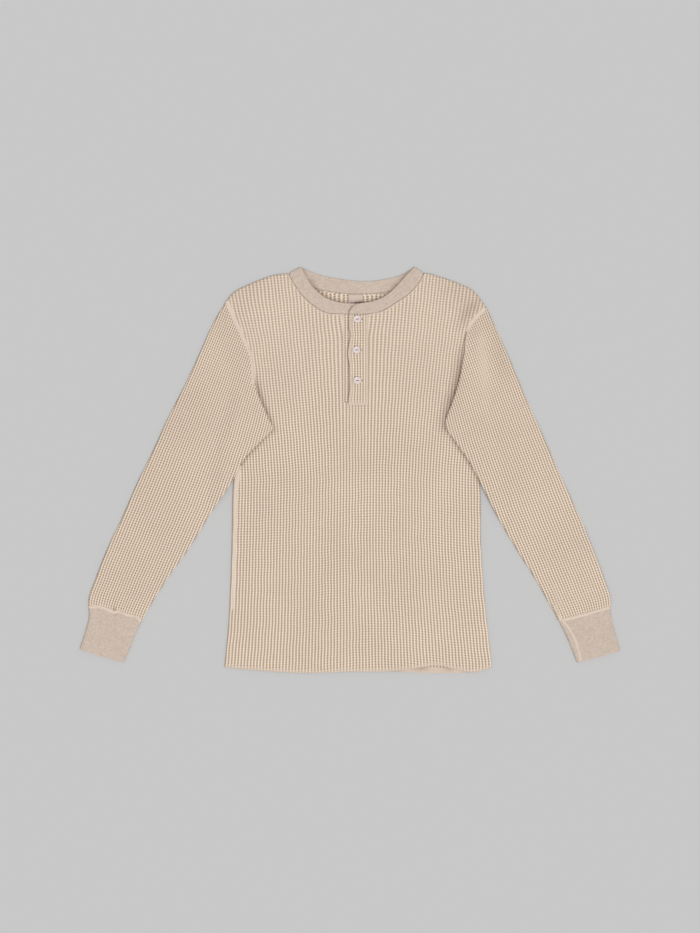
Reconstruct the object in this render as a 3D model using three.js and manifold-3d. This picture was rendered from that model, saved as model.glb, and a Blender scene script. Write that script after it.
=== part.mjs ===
// Henley shirt in waffle knit, laid flat and face up, with both sleeves swung down beside the body.
// Millimetres. +X is the viewer's right, +Y runs towards the neck and +Z is up from the surface.
// The origin is on that surface, under the middle of the whole outline.

import * as THREE from 'three';
import Module from 'manifold-3d';
import { mergeVertices } from 'three/addons/utils/BufferGeometryUtils.js';

const wasm = await Module();
wasm.setup();

// Cloth and the levels of the layers
const CLOTH = 2.0;
const SEAM_GAP = 0.3;
const RIB_RISE = 0.5;
const FRONT_LEVEL = CLOTH + SEAM_GAP;
const FRONT_TOP = FRONT_LEVEL + CLOTH + RIB_RISE;
const OVER_FRONT = FRONT_TOP + SEAM_GAP;

// Knit
const BODY_RIBS = 83;
const SLEEVE_RIBS = 22;
const PLACKET_RIBS = 5;

// Body outline, each curve from the neck downwards
const ARMHOLE_LEFT = [
  { x: -209, y: 289 },
  { x: -202, y: 271 },
  { x: -187, y: 238 },
  { x: -170, y: 201 },
  { x: -165, y: 183 },
  { x: -163, y: 146 },
  { x: -170, y: 100 },
  { x: -185, y: 56 },
];
const ARMHOLE_RIGHT = [
  { x: 231, y: 277 },
  { x: 213, y: 259 },
  { x: 201, y: 242 },
  { x: 195, y: 222 },
  { x: 194, y: 201 },
  { x: 188, y: 146 },
  { x: 194, y: 99 },
  { x: 207, y: 56 },
];
const SIDE_LEFT = [
  { x: -185, y: 56 },
  { x: -198, y: -22 },
  { x: -200.5, y: -119 },
  { x: -203, y: -200 },
  { x: -206, y: -262 },
  { x: -213, y: -335 },
];
const SIDE_RIGHT = [
  { x: 207, y: 56 },
  { x: 221, y: -32 },
  { x: 222, y: -119 },
  { x: 228, y: -215 },
  { x: 236, y: -290 },
  { x: 241, y: -335 },
];
const SHOULDER_LEFT = [
  { x: -105, y: 334 },
  { x: -133, y: 330 },
  { x: -170, y: 316 },
  { x: -196, y: 303 },
  { x: -209, y: 289 },
];
const SHOULDER_RIGHT = [
  { x: 126, y: 335 },
  { x: 148, y: 330 },
  { x: 187, y: 316 },
  { x: 211, y: 303 },
  { x: 231, y: 277 },
];
const HEM_FRONT = [
  { x: -213, y: -335 },
  { x: -150, y: -341 },
  { x: -73, y: -345 },
  { x: 0, y: -342.5 },
  { x: 60, y: -342.5 },
  { x: 110, y: -337 },
  { x: 148, y: -332 },
  { x: 179, y: -339 },
  { x: 211, y: -343.5 },
  { x: 241, y: -335 },
];
const HEM_BACK = [
  { x: -213, y: -335 },
  { x: -150, y: -340 },
  { x: -73, y: -344 },
  { x: 0, y: -342 },
  { x: 60, y: -342 },
  { x: 148, y: -345 },
  { x: 211, y: -343 },
  { x: 241, y: -335 },
];

const OUTLINE_STEPS = { hem: 30, side: 12, armhole: 26, shoulder: 9, halfNeck: 14 };

// Collar band, a row for each section, from the placket round the left shoulder to the back and on
const COLLAR_FRONT_LEFT = [
  { freeX: 23.5, freeY: 283.2, seamX: 23.5, seamY: 265.4 },
  { freeX: -2.7, freeY: 283.2, seamX: -2.7, seamY: 265.4 },
  { freeX: -17, freeY: 284.6, seamX: -20.4, seamY: 265.4 },
  { freeX: -32.3, freeY: 289, seamX: -40.8, seamY: 267.9 },
  { freeX: -47.6, freeY: 296.7, seamX: -59.5, seamY: 277.6 },
  { freeX: -65.3, freeY: 313.7, seamX: -81.6, seamY: 297.5 },
  { freeX: -76.5, freeY: 331.5, seamX: -95.2, seamY: 317 },
  { freeX: -83.3, freeY: 345.1, seamX: -104.7, seamY: 334.1 },
];
const COLLAR_BACK = [
  { freeX: -83.3, freeY: 345.1, seamX: -104.7, seamY: 334.1 },
  { freeX: -64.6, freeY: 336.5, seamX: -81.6, seamY: 318.8 },
  { freeX: -42.5, freeY: 329.3, seamX: -56.1, seamY: 308.2 },
  { freeX: -11.9, freeY: 323.9, seamX: -22.1, seamY: 301.9 },
  { freeX: 11.9, freeY: 321.3, seamX: 11.9, seamY: 299.2 },
  { freeX: 37.4, freeY: 321.3, seamX: 44.2, seamY: 301.1 },
  { freeX: 64.6, freeY: 325.4, seamX: 69.7, seamY: 304.3 },
  { freeX: 86.7, freeY: 331.5, seamX: 98.6, seamY: 316.2 },
  { freeX: 109.7, freeY: 345.4, seamX: 125.8, seamY: 334.9 },
];
const COLLAR_FRONT_RIGHT = [
  { freeX: 109.7, freeY: 345.4, seamX: 125.8, seamY: 334.9 },
  { freeX: 96.9, freeY: 332.4, seamX: 116.5, seamY: 317.9 },
  { freeX: 78.2, freeY: 311.8, seamX: 98.6, seamY: 298.4 },
  { freeX: 59.8, freeY: 295.8, seamX: 78.2, seamY: 284.9 },
  { freeX: 39.1, freeY: 286.8, seamX: 56.1, seamY: 271.2 },
  { freeX: 20.4, freeY: 283.6, seamX: 32.3, seamY: 265.6 },
  { freeX: 9.9, freeY: 281.4, seamX: -0.9, seamY: 264.9 },
];
const COLLAR_WALL = 2.0;
const COLLAR_STEPS = 18;
const COLLAR_FOLD_STEPS = 5;
const COLLAR_FOLD_TUCK = 2.2;
const COLLAR_LAP = OVER_FRONT - FRONT_LEVEL;
const COLLAR_LAP_STARTS = 58;
const COLLAR_LAP_ENDS = 30;
const NECK_MIDDLE = { x: 10.5, y: 350 };
const NECK_SEAM_GAP = 0.75;

// Placket
const PLACKET_LEFT = -11.9;
const PLACKET_RIGHT = 28.3;
const PLACKET_TOP = 265;
const PLACKET_FOOT = 115.3;
const PLACKET_WALL = 2.5;
const OVER_STRIP_LEFT = -1.7;
const OVER_STRIP_RIGHT = 31;
const OVER_STRIP_FOOT = 109.7;
const OVER_STRIP_WALL = 1.9;
const OVER_STRIP_EDGE = [
  { y: 110, shift: 0, lift: 0 },
  { y: 120, shift: -1, lift: 1.1 },
  { y: 137, shift: 1.4, lift: 1.6 },
  { y: 152, shift: 1.2, lift: 0.3 },
  { y: 178, shift: 0.6, lift: 0.9 },
  { y: 199, shift: -1.8, lift: 0.2 },
  { y: 229, shift: 2.4, lift: 1.2 },
  { y: 242, shift: 0, lift: 0.4 },
  { y: 265, shift: 0.4, lift: 0 },
];

// Buttons and their holes
const BUTTONS = [
  { name: 'button_1', x: 12.4, y: 256 },
  { name: 'button_2', x: 11.2, y: 203.7 },
  { name: 'button_3', x: 12.4, y: 151.8 },
];
const BUTTON_DIAMETER = 12.7;
const BUTTON_HEIGHT = 2.6;
const BUTTON_SIDES = 20;
const BUTTON_CLEARANCE = 0.45;
const BUTTON_PROFILE = [
  { out: 0, up: 0 },
  { out: 0.8, up: 0 },
  { out: 1, up: 0.35 },
  { out: 1, up: 0.65 },
  { out: 0.88, up: 1 },
  { out: 0.74, up: 1 },
  { out: 0.6, up: 0.8 },
  { out: 0, up: 0.78 },
];
const BUTTON_EYE = { long: 3.1, wide: 1.1, deep: 0.8, sides: 12, rings: 6 };
const THREAD_HOLE_SPACING = 2.6;
const THREAD_HOLE_RADIUS = 0.55;
const BUTTONHOLE_LENGTH = 15;
const BUTTONHOLE_WIDTH = 1.6;
const OVER_STRIP_TOP = OVER_FRONT + OVER_STRIP_WALL + RIB_RISE;

// Label inside the back neck
const LABEL = { left: -2.7, right: 20.4, top: 298.6, foot: 285, wall: 0.6 };

// Sleeves, a row for each section from the armhole to the cuff: the edge on the outer side, the edge
// on the body's side, the hollow between the layers and the roll that stands up beside the fold
const SLEEVE_LEFT = [
  { outerX: -209, outerY: 289, innerX: -163, innerY: 146, hollow: 0.3, roll: 0 },
  { outerX: -233, outerY: 248, innerX: -153, innerY: 121, hollow: 0.8, roll: 0.4 },
  { outerX: -255, outerY: 199, innerX: -141, innerY: 93, hollow: 1.2, roll: 1.0 },
  { outerX: -282, outerY: 141, innerX: -132, innerY: 70, hollow: 1.5, roll: 1.2 },
  { outerX: -297, outerY: 112, innerX: -154, innerY: 46, hollow: 1.6, roll: 0.8 },
  { outerX: -313, outerY: 80, innerX: -180, innerY: 18, hollow: 1.6, roll: 0.4 },
  { outerX: -333, outerY: 36, innerX: -203, innerY: -24, hollow: 1.6, roll: 0 },
  { outerX: -359, outerY: -17, innerX: -237, innerY: -74, hollow: 1.5, roll: 0 },
  { outerX: -386, outerY: -78, innerX: -272, innerY: -131, hollow: 1.4, roll: 0 },
  { outerX: -413, outerY: -136, innerX: -310, innerY: -184, hollow: 1.2, roll: 0 },
  { outerX: -434, outerY: -189, innerX: -341, innerY: -233, hollow: 1.0, roll: 0 },
  { outerX: -443, outerY: -214, innerX: -348, innerY: -246.5, hollow: 0.9, roll: 0 },
  { outerX: -444.6, outerY: -234.6, innerX: -353.6, innerY: -258.4, hollow: 0.8, roll: 0 },
];
const SLEEVE_RIGHT = [
  { outerX: 231, outerY: 277, innerX: 194, innerY: 201, hollow: 0.3, roll: 0 },
  { outerX: 245, outerY: 248, innerX: 190, innerY: 178, hollow: 0.6, roll: 1.0 },
  { outerX: 260, outerY: 214, innerX: 184, innerY: 146, hollow: 1.0, roll: 2.4 },
  { outerX: 277, outerY: 175, innerX: 172, innerY: 112, hollow: 1.4, roll: 3.0 },
  { outerX: 294, outerY: 134, innerX: 161.5, innerY: 76, hollow: 1.6, roll: 2.2 },
  { outerX: 308, outerY: 102, innerX: 180, innerY: 46, hollow: 1.6, roll: 1.0 },
  { outerX: 325, outerY: 65, innerX: 204, innerY: 11, hollow: 1.6, roll: 0.3 },
  { outerX: 345, outerY: 19, innerX: 226, innerY: -32, hollow: 1.6, roll: 0 },
  { outerX: 369, outerY: -34, innerX: 253, innerY: -84, hollow: 1.5, roll: 0 },
  { outerX: 393, outerY: -85, innerX: 282, innerY: -133.5, hollow: 1.4, roll: 0 },
  { outerX: 415, outerY: -139, innerX: 314, innerY: -184, hollow: 1.2, roll: 0 },
  { outerX: 433, outerY: -187, innerX: 339, innerY: -228, hollow: 1.0, roll: 0 },
  { outerX: 442, outerY: -214, innerX: 348, innerY: -244, hollow: 0.9, roll: 0 },
  { outerX: 443.2, outerY: -233.4, innerX: 353.6, innerY: -256, hollow: 0.8, roll: 0 },
];
const CUFF_LEFT = [
  { outerX: -444, outerY: -235.1, innerX: -354.6, innerY: -258.6, hollow: 0.8, roll: 0 },
  { outerX: -443.7, outerY: -251.6, innerX: -361, innerY: -270.3, hollow: 0.8, roll: 0 },
  { outerX: -448, outerY: -268.6, innerX: -368, innerY: -287.3, hollow: 0.8, roll: 0 },
  { outerX: -453.6, outerY: -287.3, innerX: -376, innerY: -307.7, hollow: 0.8, roll: 0 },
  { outerX: -459.5, outerY: -304.6, innerX: -384.2, innerY: -327, hollow: 0.8, roll: 0 },
];
const CUFF_RIGHT = [
  { outerX: 442.7, outerY: -233.9, innerX: 354.6, innerY: -256.3, hollow: 0.8, roll: 0 },
  { outerX: 443.7, outerY: -249.9, innerX: 362, innerY: -271.2, hollow: 0.8, roll: 0 },
  { outerX: 447.6, outerY: -265.2, innerX: 369.8, innerY: -287.3, hollow: 0.8, roll: 0 },
  { outerX: 453.1, outerY: -285.6, innerX: 377.4, innerY: -306, hollow: 0.8, roll: 0 },
  { outerX: 459.5, outerY: -307, innerX: 385.9, innerY: -327.4, hollow: 0.8, roll: 0 },
];
const FOLD_ROUND = 2.3;
const FOLD_ANGLES = [-60, -20, 20, 60];
const LOWER_STEPS = 11;
const INNER_STEPS = 11;
const CUFF_STEPS = 7;
const BOW_FADES_OVER = 3;
const MOUTH_GAP = 0.5;
const HOLLOW_FULLNESS = 0.6;
const ROLL_PLACE = 0.87;
const ROLL_WIDTH = 0.11;

// Where a sleeve lies over the front it climbs, starting this far outside the body's edge
const CLIMB_STARTS = 44;
const CLIMB_ENDS = 16;
const CLIMB_LEFT = { from: 218, full: 172 };
const CLIMB_RIGHT = { from: 250, full: 218 };

// Soft swellings of the front, where the knit does not lie quite flat on the back
const SWELLS = [
  { x: -96, y: -30, long: 150, wide: 46, turn: 84, rise: 1.7 },
  { x: 118, y: 20, long: 130, wide: 40, turn: 97, rise: 1.5 },
  { x: -20, y: -190, long: 120, wide: 52, turn: 20, rise: 1.3 },
  { x: 128, y: -230, long: 90, wide: 34, turn: 66, rise: 1.9 },
  { x: -110, y: 180, long: 84, wide: 30, turn: 68, rise: 1.1 },
  { x: 118, y: 190, long: 84, wide: 30, turn: 110, rise: 1.2 },
];
const SWELL_EDGE_FADE = 46;
const SWELL_PLACKET_FADE = { middle: 8, near: 26, far: 62, foot: 80 };
const SWELL_SLEEVE_FADE = { foot: 30, low: 60, high: 150, top: 190, near: 90, far: 130 };

// Heights up the front at which its ribs have a point, and how the ribs lean out at the shoulders
// (above the second row of the side tables the ribs run straight up, and the armholes cut them off)
const RIB_ROWS = [-352, -270, -190, -110, -30, 50, 110, 150, 182, 208, 234, 260, 290, 352];
const RIB_MARGIN = 4;
const INSIDE_COLUMNS = 26;
const SIDE_DROP = 1.1;
const LEAN_LEFT = { edge: -163, reach: 96, amount: -44, from: 165, full: 285 };
const LEAN_RIGHT = { edge: 194, reach: 96, amount: 36, from: 205, full: 280 };
const BLOCK_FLOOR = -60;
const PRISM_TOP = 40;

// Colours
const WAFFLE = { color: 0xd3c1ad, roughness: 0.95, metalness: 0 };
const JERSEY = { color: 0xcab9a9, roughness: 0.95, metalness: 0 };
const PEARL = { color: 0xe9dcd6, roughness: 0.3, metalness: 0 };
const TAPE = { color: 0xe6d9c4, roughness: 0.9, metalness: 0 };

const clamp01 = (value) => Math.min(1, Math.max(0, value));
const mix = (a, b, t) => a + (b - a) * t;
const degrees = (value) => (value * Math.PI) / 180;

function smooth(from, to, value) {
  const t = clamp01((value - from) / (to - from));
  return t * t * (3 - 2 * t);
}

// The value of one column of a table at a given place along another column, in straight steps
function lookUp(table, placeColumn, valueColumn, place) {
  const rising = table[0][placeColumn] < table[table.length - 1][placeColumn];
  const rows = rising ? table : [...table].reverse();
  const next = rows.findIndex((row) => row[placeColumn] > place);
  if (next === 0) return rows[0][valueColumn];
  if (next < 0) return rows[rows.length - 1][valueColumn];
  const a = rows[next - 1];
  const b = rows[next];
  const t = (place - a[placeColumn]) / (b[placeColumn] - a[placeColumn]);
  return mix(a[valueColumn], b[valueColumn], t);
}

function planCurve(table) {
  return new THREE.SplineCurve(table.map(({ x, y }) => new THREE.Vector2(x, y)));
}

function moved(point, away, distance) {
  const step = new THREE.Vector2(point.x - away.x, point.y - away.y).normalize();
  return new THREE.Vector2(point.x + step.x * distance, point.y + step.y * distance);
}

// Points along a curve, without its last one, so that curves can follow each other round an outline
function walk(table, steps, backwards = false) {
  const points = planCurve(table).getSpacedPoints(steps);
  if (backwards) points.reverse();
  return points.slice(0, -1);
}

const seamRows = (rows) => rows.map(({ seamX, seamY }) => ({ x: seamX, y: seamY }));

function bodyOutline(hem, neck) {
  return [
    ...walk(hem, OUTLINE_STEPS.hem),
    ...walk(SIDE_RIGHT, OUTLINE_STEPS.side, true),
    ...walk(ARMHOLE_RIGHT, OUTLINE_STEPS.armhole, true),
    ...walk(SHOULDER_RIGHT, OUTLINE_STEPS.shoulder, true),
    ...neck,
    ...walk(SHOULDER_LEFT, OUTLINE_STEPS.shoulder),
    ...walk(ARMHOLE_LEFT, OUTLINE_STEPS.armhole),
    ...walk(SIDE_LEFT, OUTLINE_STEPS.side),
  ];
}

function neckEdge(rows, steps) {
  return walk(seamRows(rows), steps).map((point) => moved(point, NECK_MIDDLE, NECK_SEAM_GAP));
}

const outlineWithoutNeck = bodyOutline(HEM_FRONT, []);

function insideBody(x, y) {
  let inside = false;
  outlineWithoutNeck.forEach((a, index) => {
    const b = outlineWithoutNeck[(index + 1) % outlineWithoutNeck.length];
    const crosses = a.y > y !== b.y > y && x < ((b.x - a.x) * (y - a.y)) / (b.y - a.y) + a.x;
    if (crosses) inside = !inside;
  });
  return inside;
}

// Distance to the body's edge: positive inside it, negative outside
function bodyDepth(x, y) {
  let nearest = Infinity;
  outlineWithoutNeck.forEach((a, index) => {
    const b = outlineWithoutNeck[(index + 1) % outlineWithoutNeck.length];
    const alongX = b.x - a.x;
    const alongY = b.y - a.y;
    const t = clamp01(((x - a.x) * alongX + (y - a.y) * alongY) / (alongX ** 2 + alongY ** 2));
    nearest = Math.min(nearest, Math.hypot(x - a.x - alongX * t, y - a.y - alongY * t));
  });
  return insideBody(x, y) ? nearest : -nearest;
}

// How high the sleeve's underside is lifted by the body that lies under it
function climb(x, y) {
  const side = x < 0 ? CLIMB_LEFT : CLIMB_RIGHT;
  const nearness = smooth(-CLIMB_STARTS, -CLIMB_ENDS, bodyDepth(x, y));
  return OVER_FRONT * nearness * (1 - smooth(side.full, side.from, y));
}

function swell(x, y) {
  const placket = SWELL_PLACKET_FADE;
  const besidePlacket = smooth(placket.near, placket.far, Math.abs(x - placket.middle));
  const clearOfPlacket = Math.max(besidePlacket, 1 - smooth(0, placket.foot, y));
  const clearOfEdge = smooth(0, SWELL_EDGE_FADE, bodyDepth(x, y));
  const sleeve = SWELL_SLEEVE_FADE;
  const offSleeve = 1 - smooth(sleeve.foot, sleeve.low, y) * (1 - smooth(sleeve.high, sleeve.top, y));
  const inTheMiddle = 1 - smooth(sleeve.near, sleeve.far, Math.abs(x - placket.middle));
  const clearOfSleeve = Math.max(offSleeve, inTheMiddle);
  const total = SWELLS.reduce((sum, { x: middleX, y: middleY, long, wide, turn, rise }) => {
    const angle = degrees(turn);
    const along = (x - middleX) * Math.cos(angle) + (y - middleY) * Math.sin(angle);
    const across = (y - middleY) * Math.cos(angle) - (x - middleX) * Math.sin(angle);
    return sum + rise * Math.exp(-((along / long) ** 2) - (across / wide) ** 2);
  }, 0);
  return total * clearOfEdge * clearOfPlacket * clearOfSleeve;
}

// A closed mesh from points and triangles
function meshGeometry(points, triangles) {
  const geometry = new THREE.BufferGeometry();
  const coordinates = points.flatMap((p) => [p.x, p.y, p.z]);
  geometry.setAttribute('position', new THREE.Float32BufferAttribute(coordinates, 3));
  geometry.setIndex(triangles);
  return geometry;
}

function bareGeometry(geometry) {
  const bare = geometry.clone();
  bare.deleteAttribute('normal');
  bare.deleteAttribute('uv');
  return mergeVertices(bare, 1e-4);
}

function toSolid(geometry) {
  const bare = bareGeometry(geometry);
  const solid = (triVerts) => new wasm.Manifold(
    new wasm.Mesh({ numProp: 3, vertProperties: bare.attributes.position.array, triVerts }),
  );
  const index = Uint32Array.from(bare.index.array);
  const first = solid(index);
  return first.volume() > 0 ? first : solid(index.reverse());
}

function fromSolid(solid) {
  const { vertProperties, triVerts, numProp } = solid.getMesh();
  const points = [];
  for (let i = 0; i < vertProperties.length; i += numProp) {
    points.push(new THREE.Vector3(vertProperties[i], vertProperties[i + 1], vertProperties[i + 2]));
  }
  return meshGeometry(points, Array.from(triVerts));
}

function prism(outline, bottom, top) {
  const settings = { depth: top - bottom, bevelEnabled: false };
  return new THREE.ExtrudeGeometry(new THREE.Shape(outline), settings).translate(0, 0, bottom);
}

// A block with a modelled top, four plain walls and a flat floor far below
function blockUnder(columns, rows, topAt) {
  const points = [];
  for (let j = 0; j < rows; j += 1) {
    for (let i = 0; i < columns; i += 1) points.push(topAt(i, j));
  }
  const at = (i, j) => j * columns + i;
  const triangles = [];
  for (let j = 0; j + 1 < rows; j += 1) {
    for (let i = 0; i + 1 < columns; i += 1) {
      triangles.push(at(i, j), at(i + 1, j), at(i + 1, j + 1), at(i, j), at(i + 1, j + 1), at(i, j + 1));
    }
  }
  const lastColumn = columns - 1;
  const lastRow = rows - 1;
  const corners = [[0, 0], [lastColumn, 0], [lastColumn, lastRow], [0, lastRow]].map(([i, j]) => {
    const { x, y } = points[at(i, j)];
    points.push(new THREE.Vector3(x, y, BLOCK_FLOOR));
    return points.length - 1;
  });
  const range = (count) => [...Array(count).keys()];
  const edges = [
    range(columns).map((i) => at(i, 0)),
    range(rows).map((j) => at(lastColumn, j)),
    range(columns).map((i) => at(lastColumn - i, lastRow)),
    range(rows).map((j) => at(0, lastRow - j)),
  ];
  edges.forEach((edge, side) => {
    const near = corners[side];
    const far = corners[(side + 1) % corners.length];
    triangles.push(near, far, edge[edge.length - 1]);
    for (let k = edge.length - 1; k > 0; k -= 1) triangles.push(near, edge[k], edge[k - 1]);
  });
  triangles.push(corners[0], corners[3], corners[2], corners[0], corners[2], corners[1]);
  return meshGeometry(points, triangles);
}

// A thin sheet with a modelled top and underside that share one grid
function sheet(columns, rows, topAt, undersideAt) {
  const points = [];
  [topAt, undersideAt].forEach((surface) => {
    for (let j = 0; j < rows; j += 1) {
      for (let i = 0; i < columns; i += 1) points.push(surface(i, j));
    }
  });
  const top = (i, j) => j * columns + i;
  const under = (i, j) => columns * rows + top(i, j);
  const triangles = [];
  const quad = (a, b, c, d) => triangles.push(a, b, c, a, c, d);
  for (let j = 0; j + 1 < rows; j += 1) {
    for (let i = 0; i + 1 < columns; i += 1) {
      quad(top(i, j), top(i + 1, j), top(i + 1, j + 1), top(i, j + 1));
      quad(under(i, j), under(i, j + 1), under(i + 1, j + 1), under(i + 1, j));
    }
    quad(under(0, j), top(0, j), top(0, j + 1), under(0, j + 1));
    quad(top(columns - 1, j), under(columns - 1, j), under(columns - 1, j + 1), top(columns - 1, j + 1));
  }
  for (let i = 0; i + 1 < columns; i += 1) {
    quad(under(i, 0), under(i + 1, 0), top(i + 1, 0), top(i, 0));
    quad(top(i, rows - 1), top(i + 1, rows - 1), under(i + 1, rows - 1), under(i, rows - 1));
  }
  return meshGeometry(points, triangles);
}

// Where a rib column runs: evenly between the side seams, leaning out with the shoulder seams above
function ribX(share, y) {
  const left = lookUp(SIDE_LEFT, 'y', 'x', Math.min(y, SIDE_LEFT[1].y));
  const right = lookUp(SIDE_RIGHT, 'y', 'x', Math.min(y, SIDE_RIGHT[1].y));
  const x = mix(left, right, share);
  const leftLean = 1 - clamp01((x - LEAN_LEFT.edge) / LEAN_LEFT.reach);
  const rightLean = 1 - clamp01((LEAN_RIGHT.edge - x) / LEAN_RIGHT.reach);
  const leftPart = LEAN_LEFT.amount * leftLean * smooth(LEAN_LEFT.from, LEAN_LEFT.full, y);
  const rightPart = LEAN_RIGHT.amount * rightLean * smooth(LEAN_RIGHT.from, LEAN_RIGHT.full, y);
  return x + leftPart + rightPart;
}

function frontPanel() {
  const neck = [
    ...neckEdge(COLLAR_FRONT_RIGHT.slice(0, -1), OUTLINE_STEPS.halfNeck),
    new THREE.Vector2(PLACKET_RIGHT, PLACKET_TOP),
    new THREE.Vector2(PLACKET_RIGHT, PLACKET_FOOT),
    new THREE.Vector2(PLACKET_LEFT, PLACKET_FOOT),
    new THREE.Vector2(PLACKET_LEFT, PLACKET_TOP),
    ...neckEdge(COLLAR_FRONT_LEFT.slice(2), OUTLINE_STEPS.halfNeck),
  ];
  const outline = toSolid(prism(bodyOutline(HEM_FRONT, neck), 0, PRISM_TOP));
  const columns = 2 * BODY_RIBS + 1 + 2 * RIB_MARGIN;
  const ribbed = toSolid(blockUnder(columns, RIB_ROWS.length, (i, j) => {
    const column = i - RIB_MARGIN;
    const y = RIB_ROWS[j];
    const x = ribX(column / (2 * BODY_RIBS), y);
    const onRib = column % 2 !== 0 ? RIB_RISE : 0;
    const pastSide = (column <= 0 || column >= 2 * BODY_RIBS) && y < SIDE_LEFT[0].y;
    const drop = pastSide ? SIDE_DROP : 0;
    return new THREE.Vector3(x, y, FRONT_LEVEL + CLOTH + onRib - drop + swell(x, y));
  }));
  const hollow = toSolid(blockUnder(INSIDE_COLUMNS, RIB_ROWS.length, (i, j) => {
    const reach = RIB_MARGIN / BODY_RIBS;
    const y = RIB_ROWS[j];
    const x = ribX(mix(-reach, 1 + reach, i / (INSIDE_COLUMNS - 1)), y);
    return new THREE.Vector3(x, y, FRONT_LEVEL + swell(x, y));
  }));
  return fromSolid(ribbed.intersect(outline).subtract(hollow));
}

function backPanel() {
  const neck = neckEdge([...COLLAR_BACK].reverse(), 2 * OUTLINE_STEPS.halfNeck);
  return prism(bodyOutline(HEM_BACK, neck), 0, CLOTH);
}

// The end of a tube: a strip of triangles between its outer and inner ring. Each ring point carries
// its progress round the ring, and the ring that is behind takes the next step.
function closeEnd({ outer, inner }, start, push) {
  const outerAt = (k) => start + (k % outer.length);
  const innerAt = (k) => start + outer.length + (k % inner.length);
  const progress = (ring, k) => ring[k % ring.length].progress + (k >= ring.length ? 2 : 0);
  let o = 0;
  let i = 0;
  while (o < outer.length || i < inner.length) {
    const outerBehind = progress(outer, o + 1) <= progress(inner, i + 1);
    if (i === inner.length || (o < outer.length && outerBehind)) {
      push(outerAt(o), outerAt(o + 1), innerAt(i));
      o += 1;
    } else {
      push(outerAt(o), innerAt(i + 1), innerAt(i));
      i += 1;
    }
  }
}

// One flattened tube of cloth, through the sections of its table. Its lower layer lies on the surface
// or on the body, its upper layer may carry ribs, and its two sides are rounded folds.
function laidTube({ table, mouth, ribs, plainSteps, lift }) {
  const mirrored = table[0].outerX > 0;
  const upperSteps = ribs ? 2 * ribs : plainSteps;
  const mouthCurve = mouth ? planCurve(mouth) : null;
  const planAt = (row, u) => {
    const { outerX, outerY, innerX, innerY } = table[row];
    const point = new THREE.Vector2(mix(outerX, innerX, u), mix(outerY, innerY, u));
    if (mouthCurve && row < BOW_FADES_OVER) {
      const first = table[0];
      const onSeam = mouthCurve.getPointAt(u);
      const weight = 1 - row / BOW_FADES_OVER;
      point.x += (onSeam.x - mix(first.outerX, first.innerX, u)) * weight;
      point.y += (onSeam.y - mix(first.outerY, first.innerY, u)) * weight;
    }
    if (mouthCurve && row === 0) {
      const tangent = mouthCurve.getTangentAt(u);
      const turn = mirrored ? -1 : 1;
      point.x += tangent.y * turn * MOUTH_GAP;
      point.y -= tangent.x * turn * MOUTH_GAP;
    }
    return point;
  };
  const widthOf = ({ outerX, outerY, innerX, innerY }) => Math.hypot(innerX - outerX, innerY - outerY);
  const heightAt = (row, u) => {
    const { hollow, roll } = table[row];
    const rolled = roll * Math.exp(-(((u - ROLL_PLACE) / ROLL_WIDTH) ** 2));
    return 2 * CLOTH + SEAM_GAP + (hollow - SEAM_GAP) * Math.sin(Math.PI * u) ** HOLLOW_FULLNESS + rolled;
  };
  const ringAt = (row) => {
    const width = widthOf(table[row]);
    const totalAt = (u) => heightAt(row, clamp01(u));
    const first = FOLD_ROUND / width;
    const last = 1 - first;
    const lower = (u, height) => ({ u, height, progress: u });
    const upper = (u, height) => ({ u, height, progress: 2 - u });
    const round = (edge, angle, sign) => {
      const turn = degrees(angle);
      const u = edge + sign * first * Math.cos(turn);
      const height = totalAt(u) * (0.5 + 0.5 * Math.sin(turn));
      const middle = sign > 0 ? 1 : 2;
      return { u, height, progress: middle + sign * first * Math.sin(turn) };
    };
    const outer = [];
    for (let k = 0; k <= LOWER_STEPS; k += 1) outer.push(lower(mix(first, last, k / LOWER_STEPS), 0));
    FOLD_ANGLES.forEach((angle) => outer.push(round(last, angle, 1)));
    for (let k = upperSteps; k >= 0; k -= 1) {
      const u = mix(first, last, k / upperSteps);
      outer.push(upper(u, totalAt(u) + (ribs && k % 2 !== 0 ? RIB_RISE : 0)));
    }
    [...FOLD_ANGLES].reverse().forEach((angle) => outer.push(round(first, angle, -1)));
    const inner = [];
    const innerU = (k) => mix(first, last, k / INNER_STEPS);
    for (let k = 0; k <= INNER_STEPS; k += 1) inner.push(lower(innerU(k), CLOTH));
    for (let k = INNER_STEPS; k >= 0; k -= 1) inner.push(upper(innerU(k), totalAt(innerU(k)) - CLOTH));
    return { outer, inner };
  };
  const rings = table.map((_, row) => ringAt(row));
  const outerCount = rings[0].outer.length;
  const innerCount = rings[0].inner.length;
  const points = rings.flatMap(({ outer, inner }, row) => [...outer, ...inner].map(({ height, u }) => {
    const { x, y } = planAt(row, u);
    return new THREE.Vector3(x, y, height + (lift ? climb(x, y) : 0));
  }));
  const triangles = [];
  const push = (a, b, c) => (mirrored ? triangles.push(a, c, b) : triangles.push(a, b, c));
  const stride = outerCount + innerCount;
  for (let row = 0; row + 1 < rings.length; row += 1) {
    const near = row * stride;
    const far = near + stride;
    for (let k = 0; k < outerCount; k += 1) {
      const next = (k + 1) % outerCount;
      push(near + k, near + next, far + next);
      push(near + k, far + next, far + k);
    }
    for (let k = 0; k < innerCount; k += 1) {
      const next = (k + 1) % innerCount;
      push(near + outerCount + k, far + outerCount + next, near + outerCount + next);
      push(near + outerCount + k, far + outerCount + k, far + outerCount + next);
    }
  }
  closeEnd(rings[0], 0, (a, b, c) => push(a, c, b));
  closeEnd(rings[rings.length - 1], (rings.length - 1) * stride, push);
  return meshGeometry(points, triangles);
}

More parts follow.
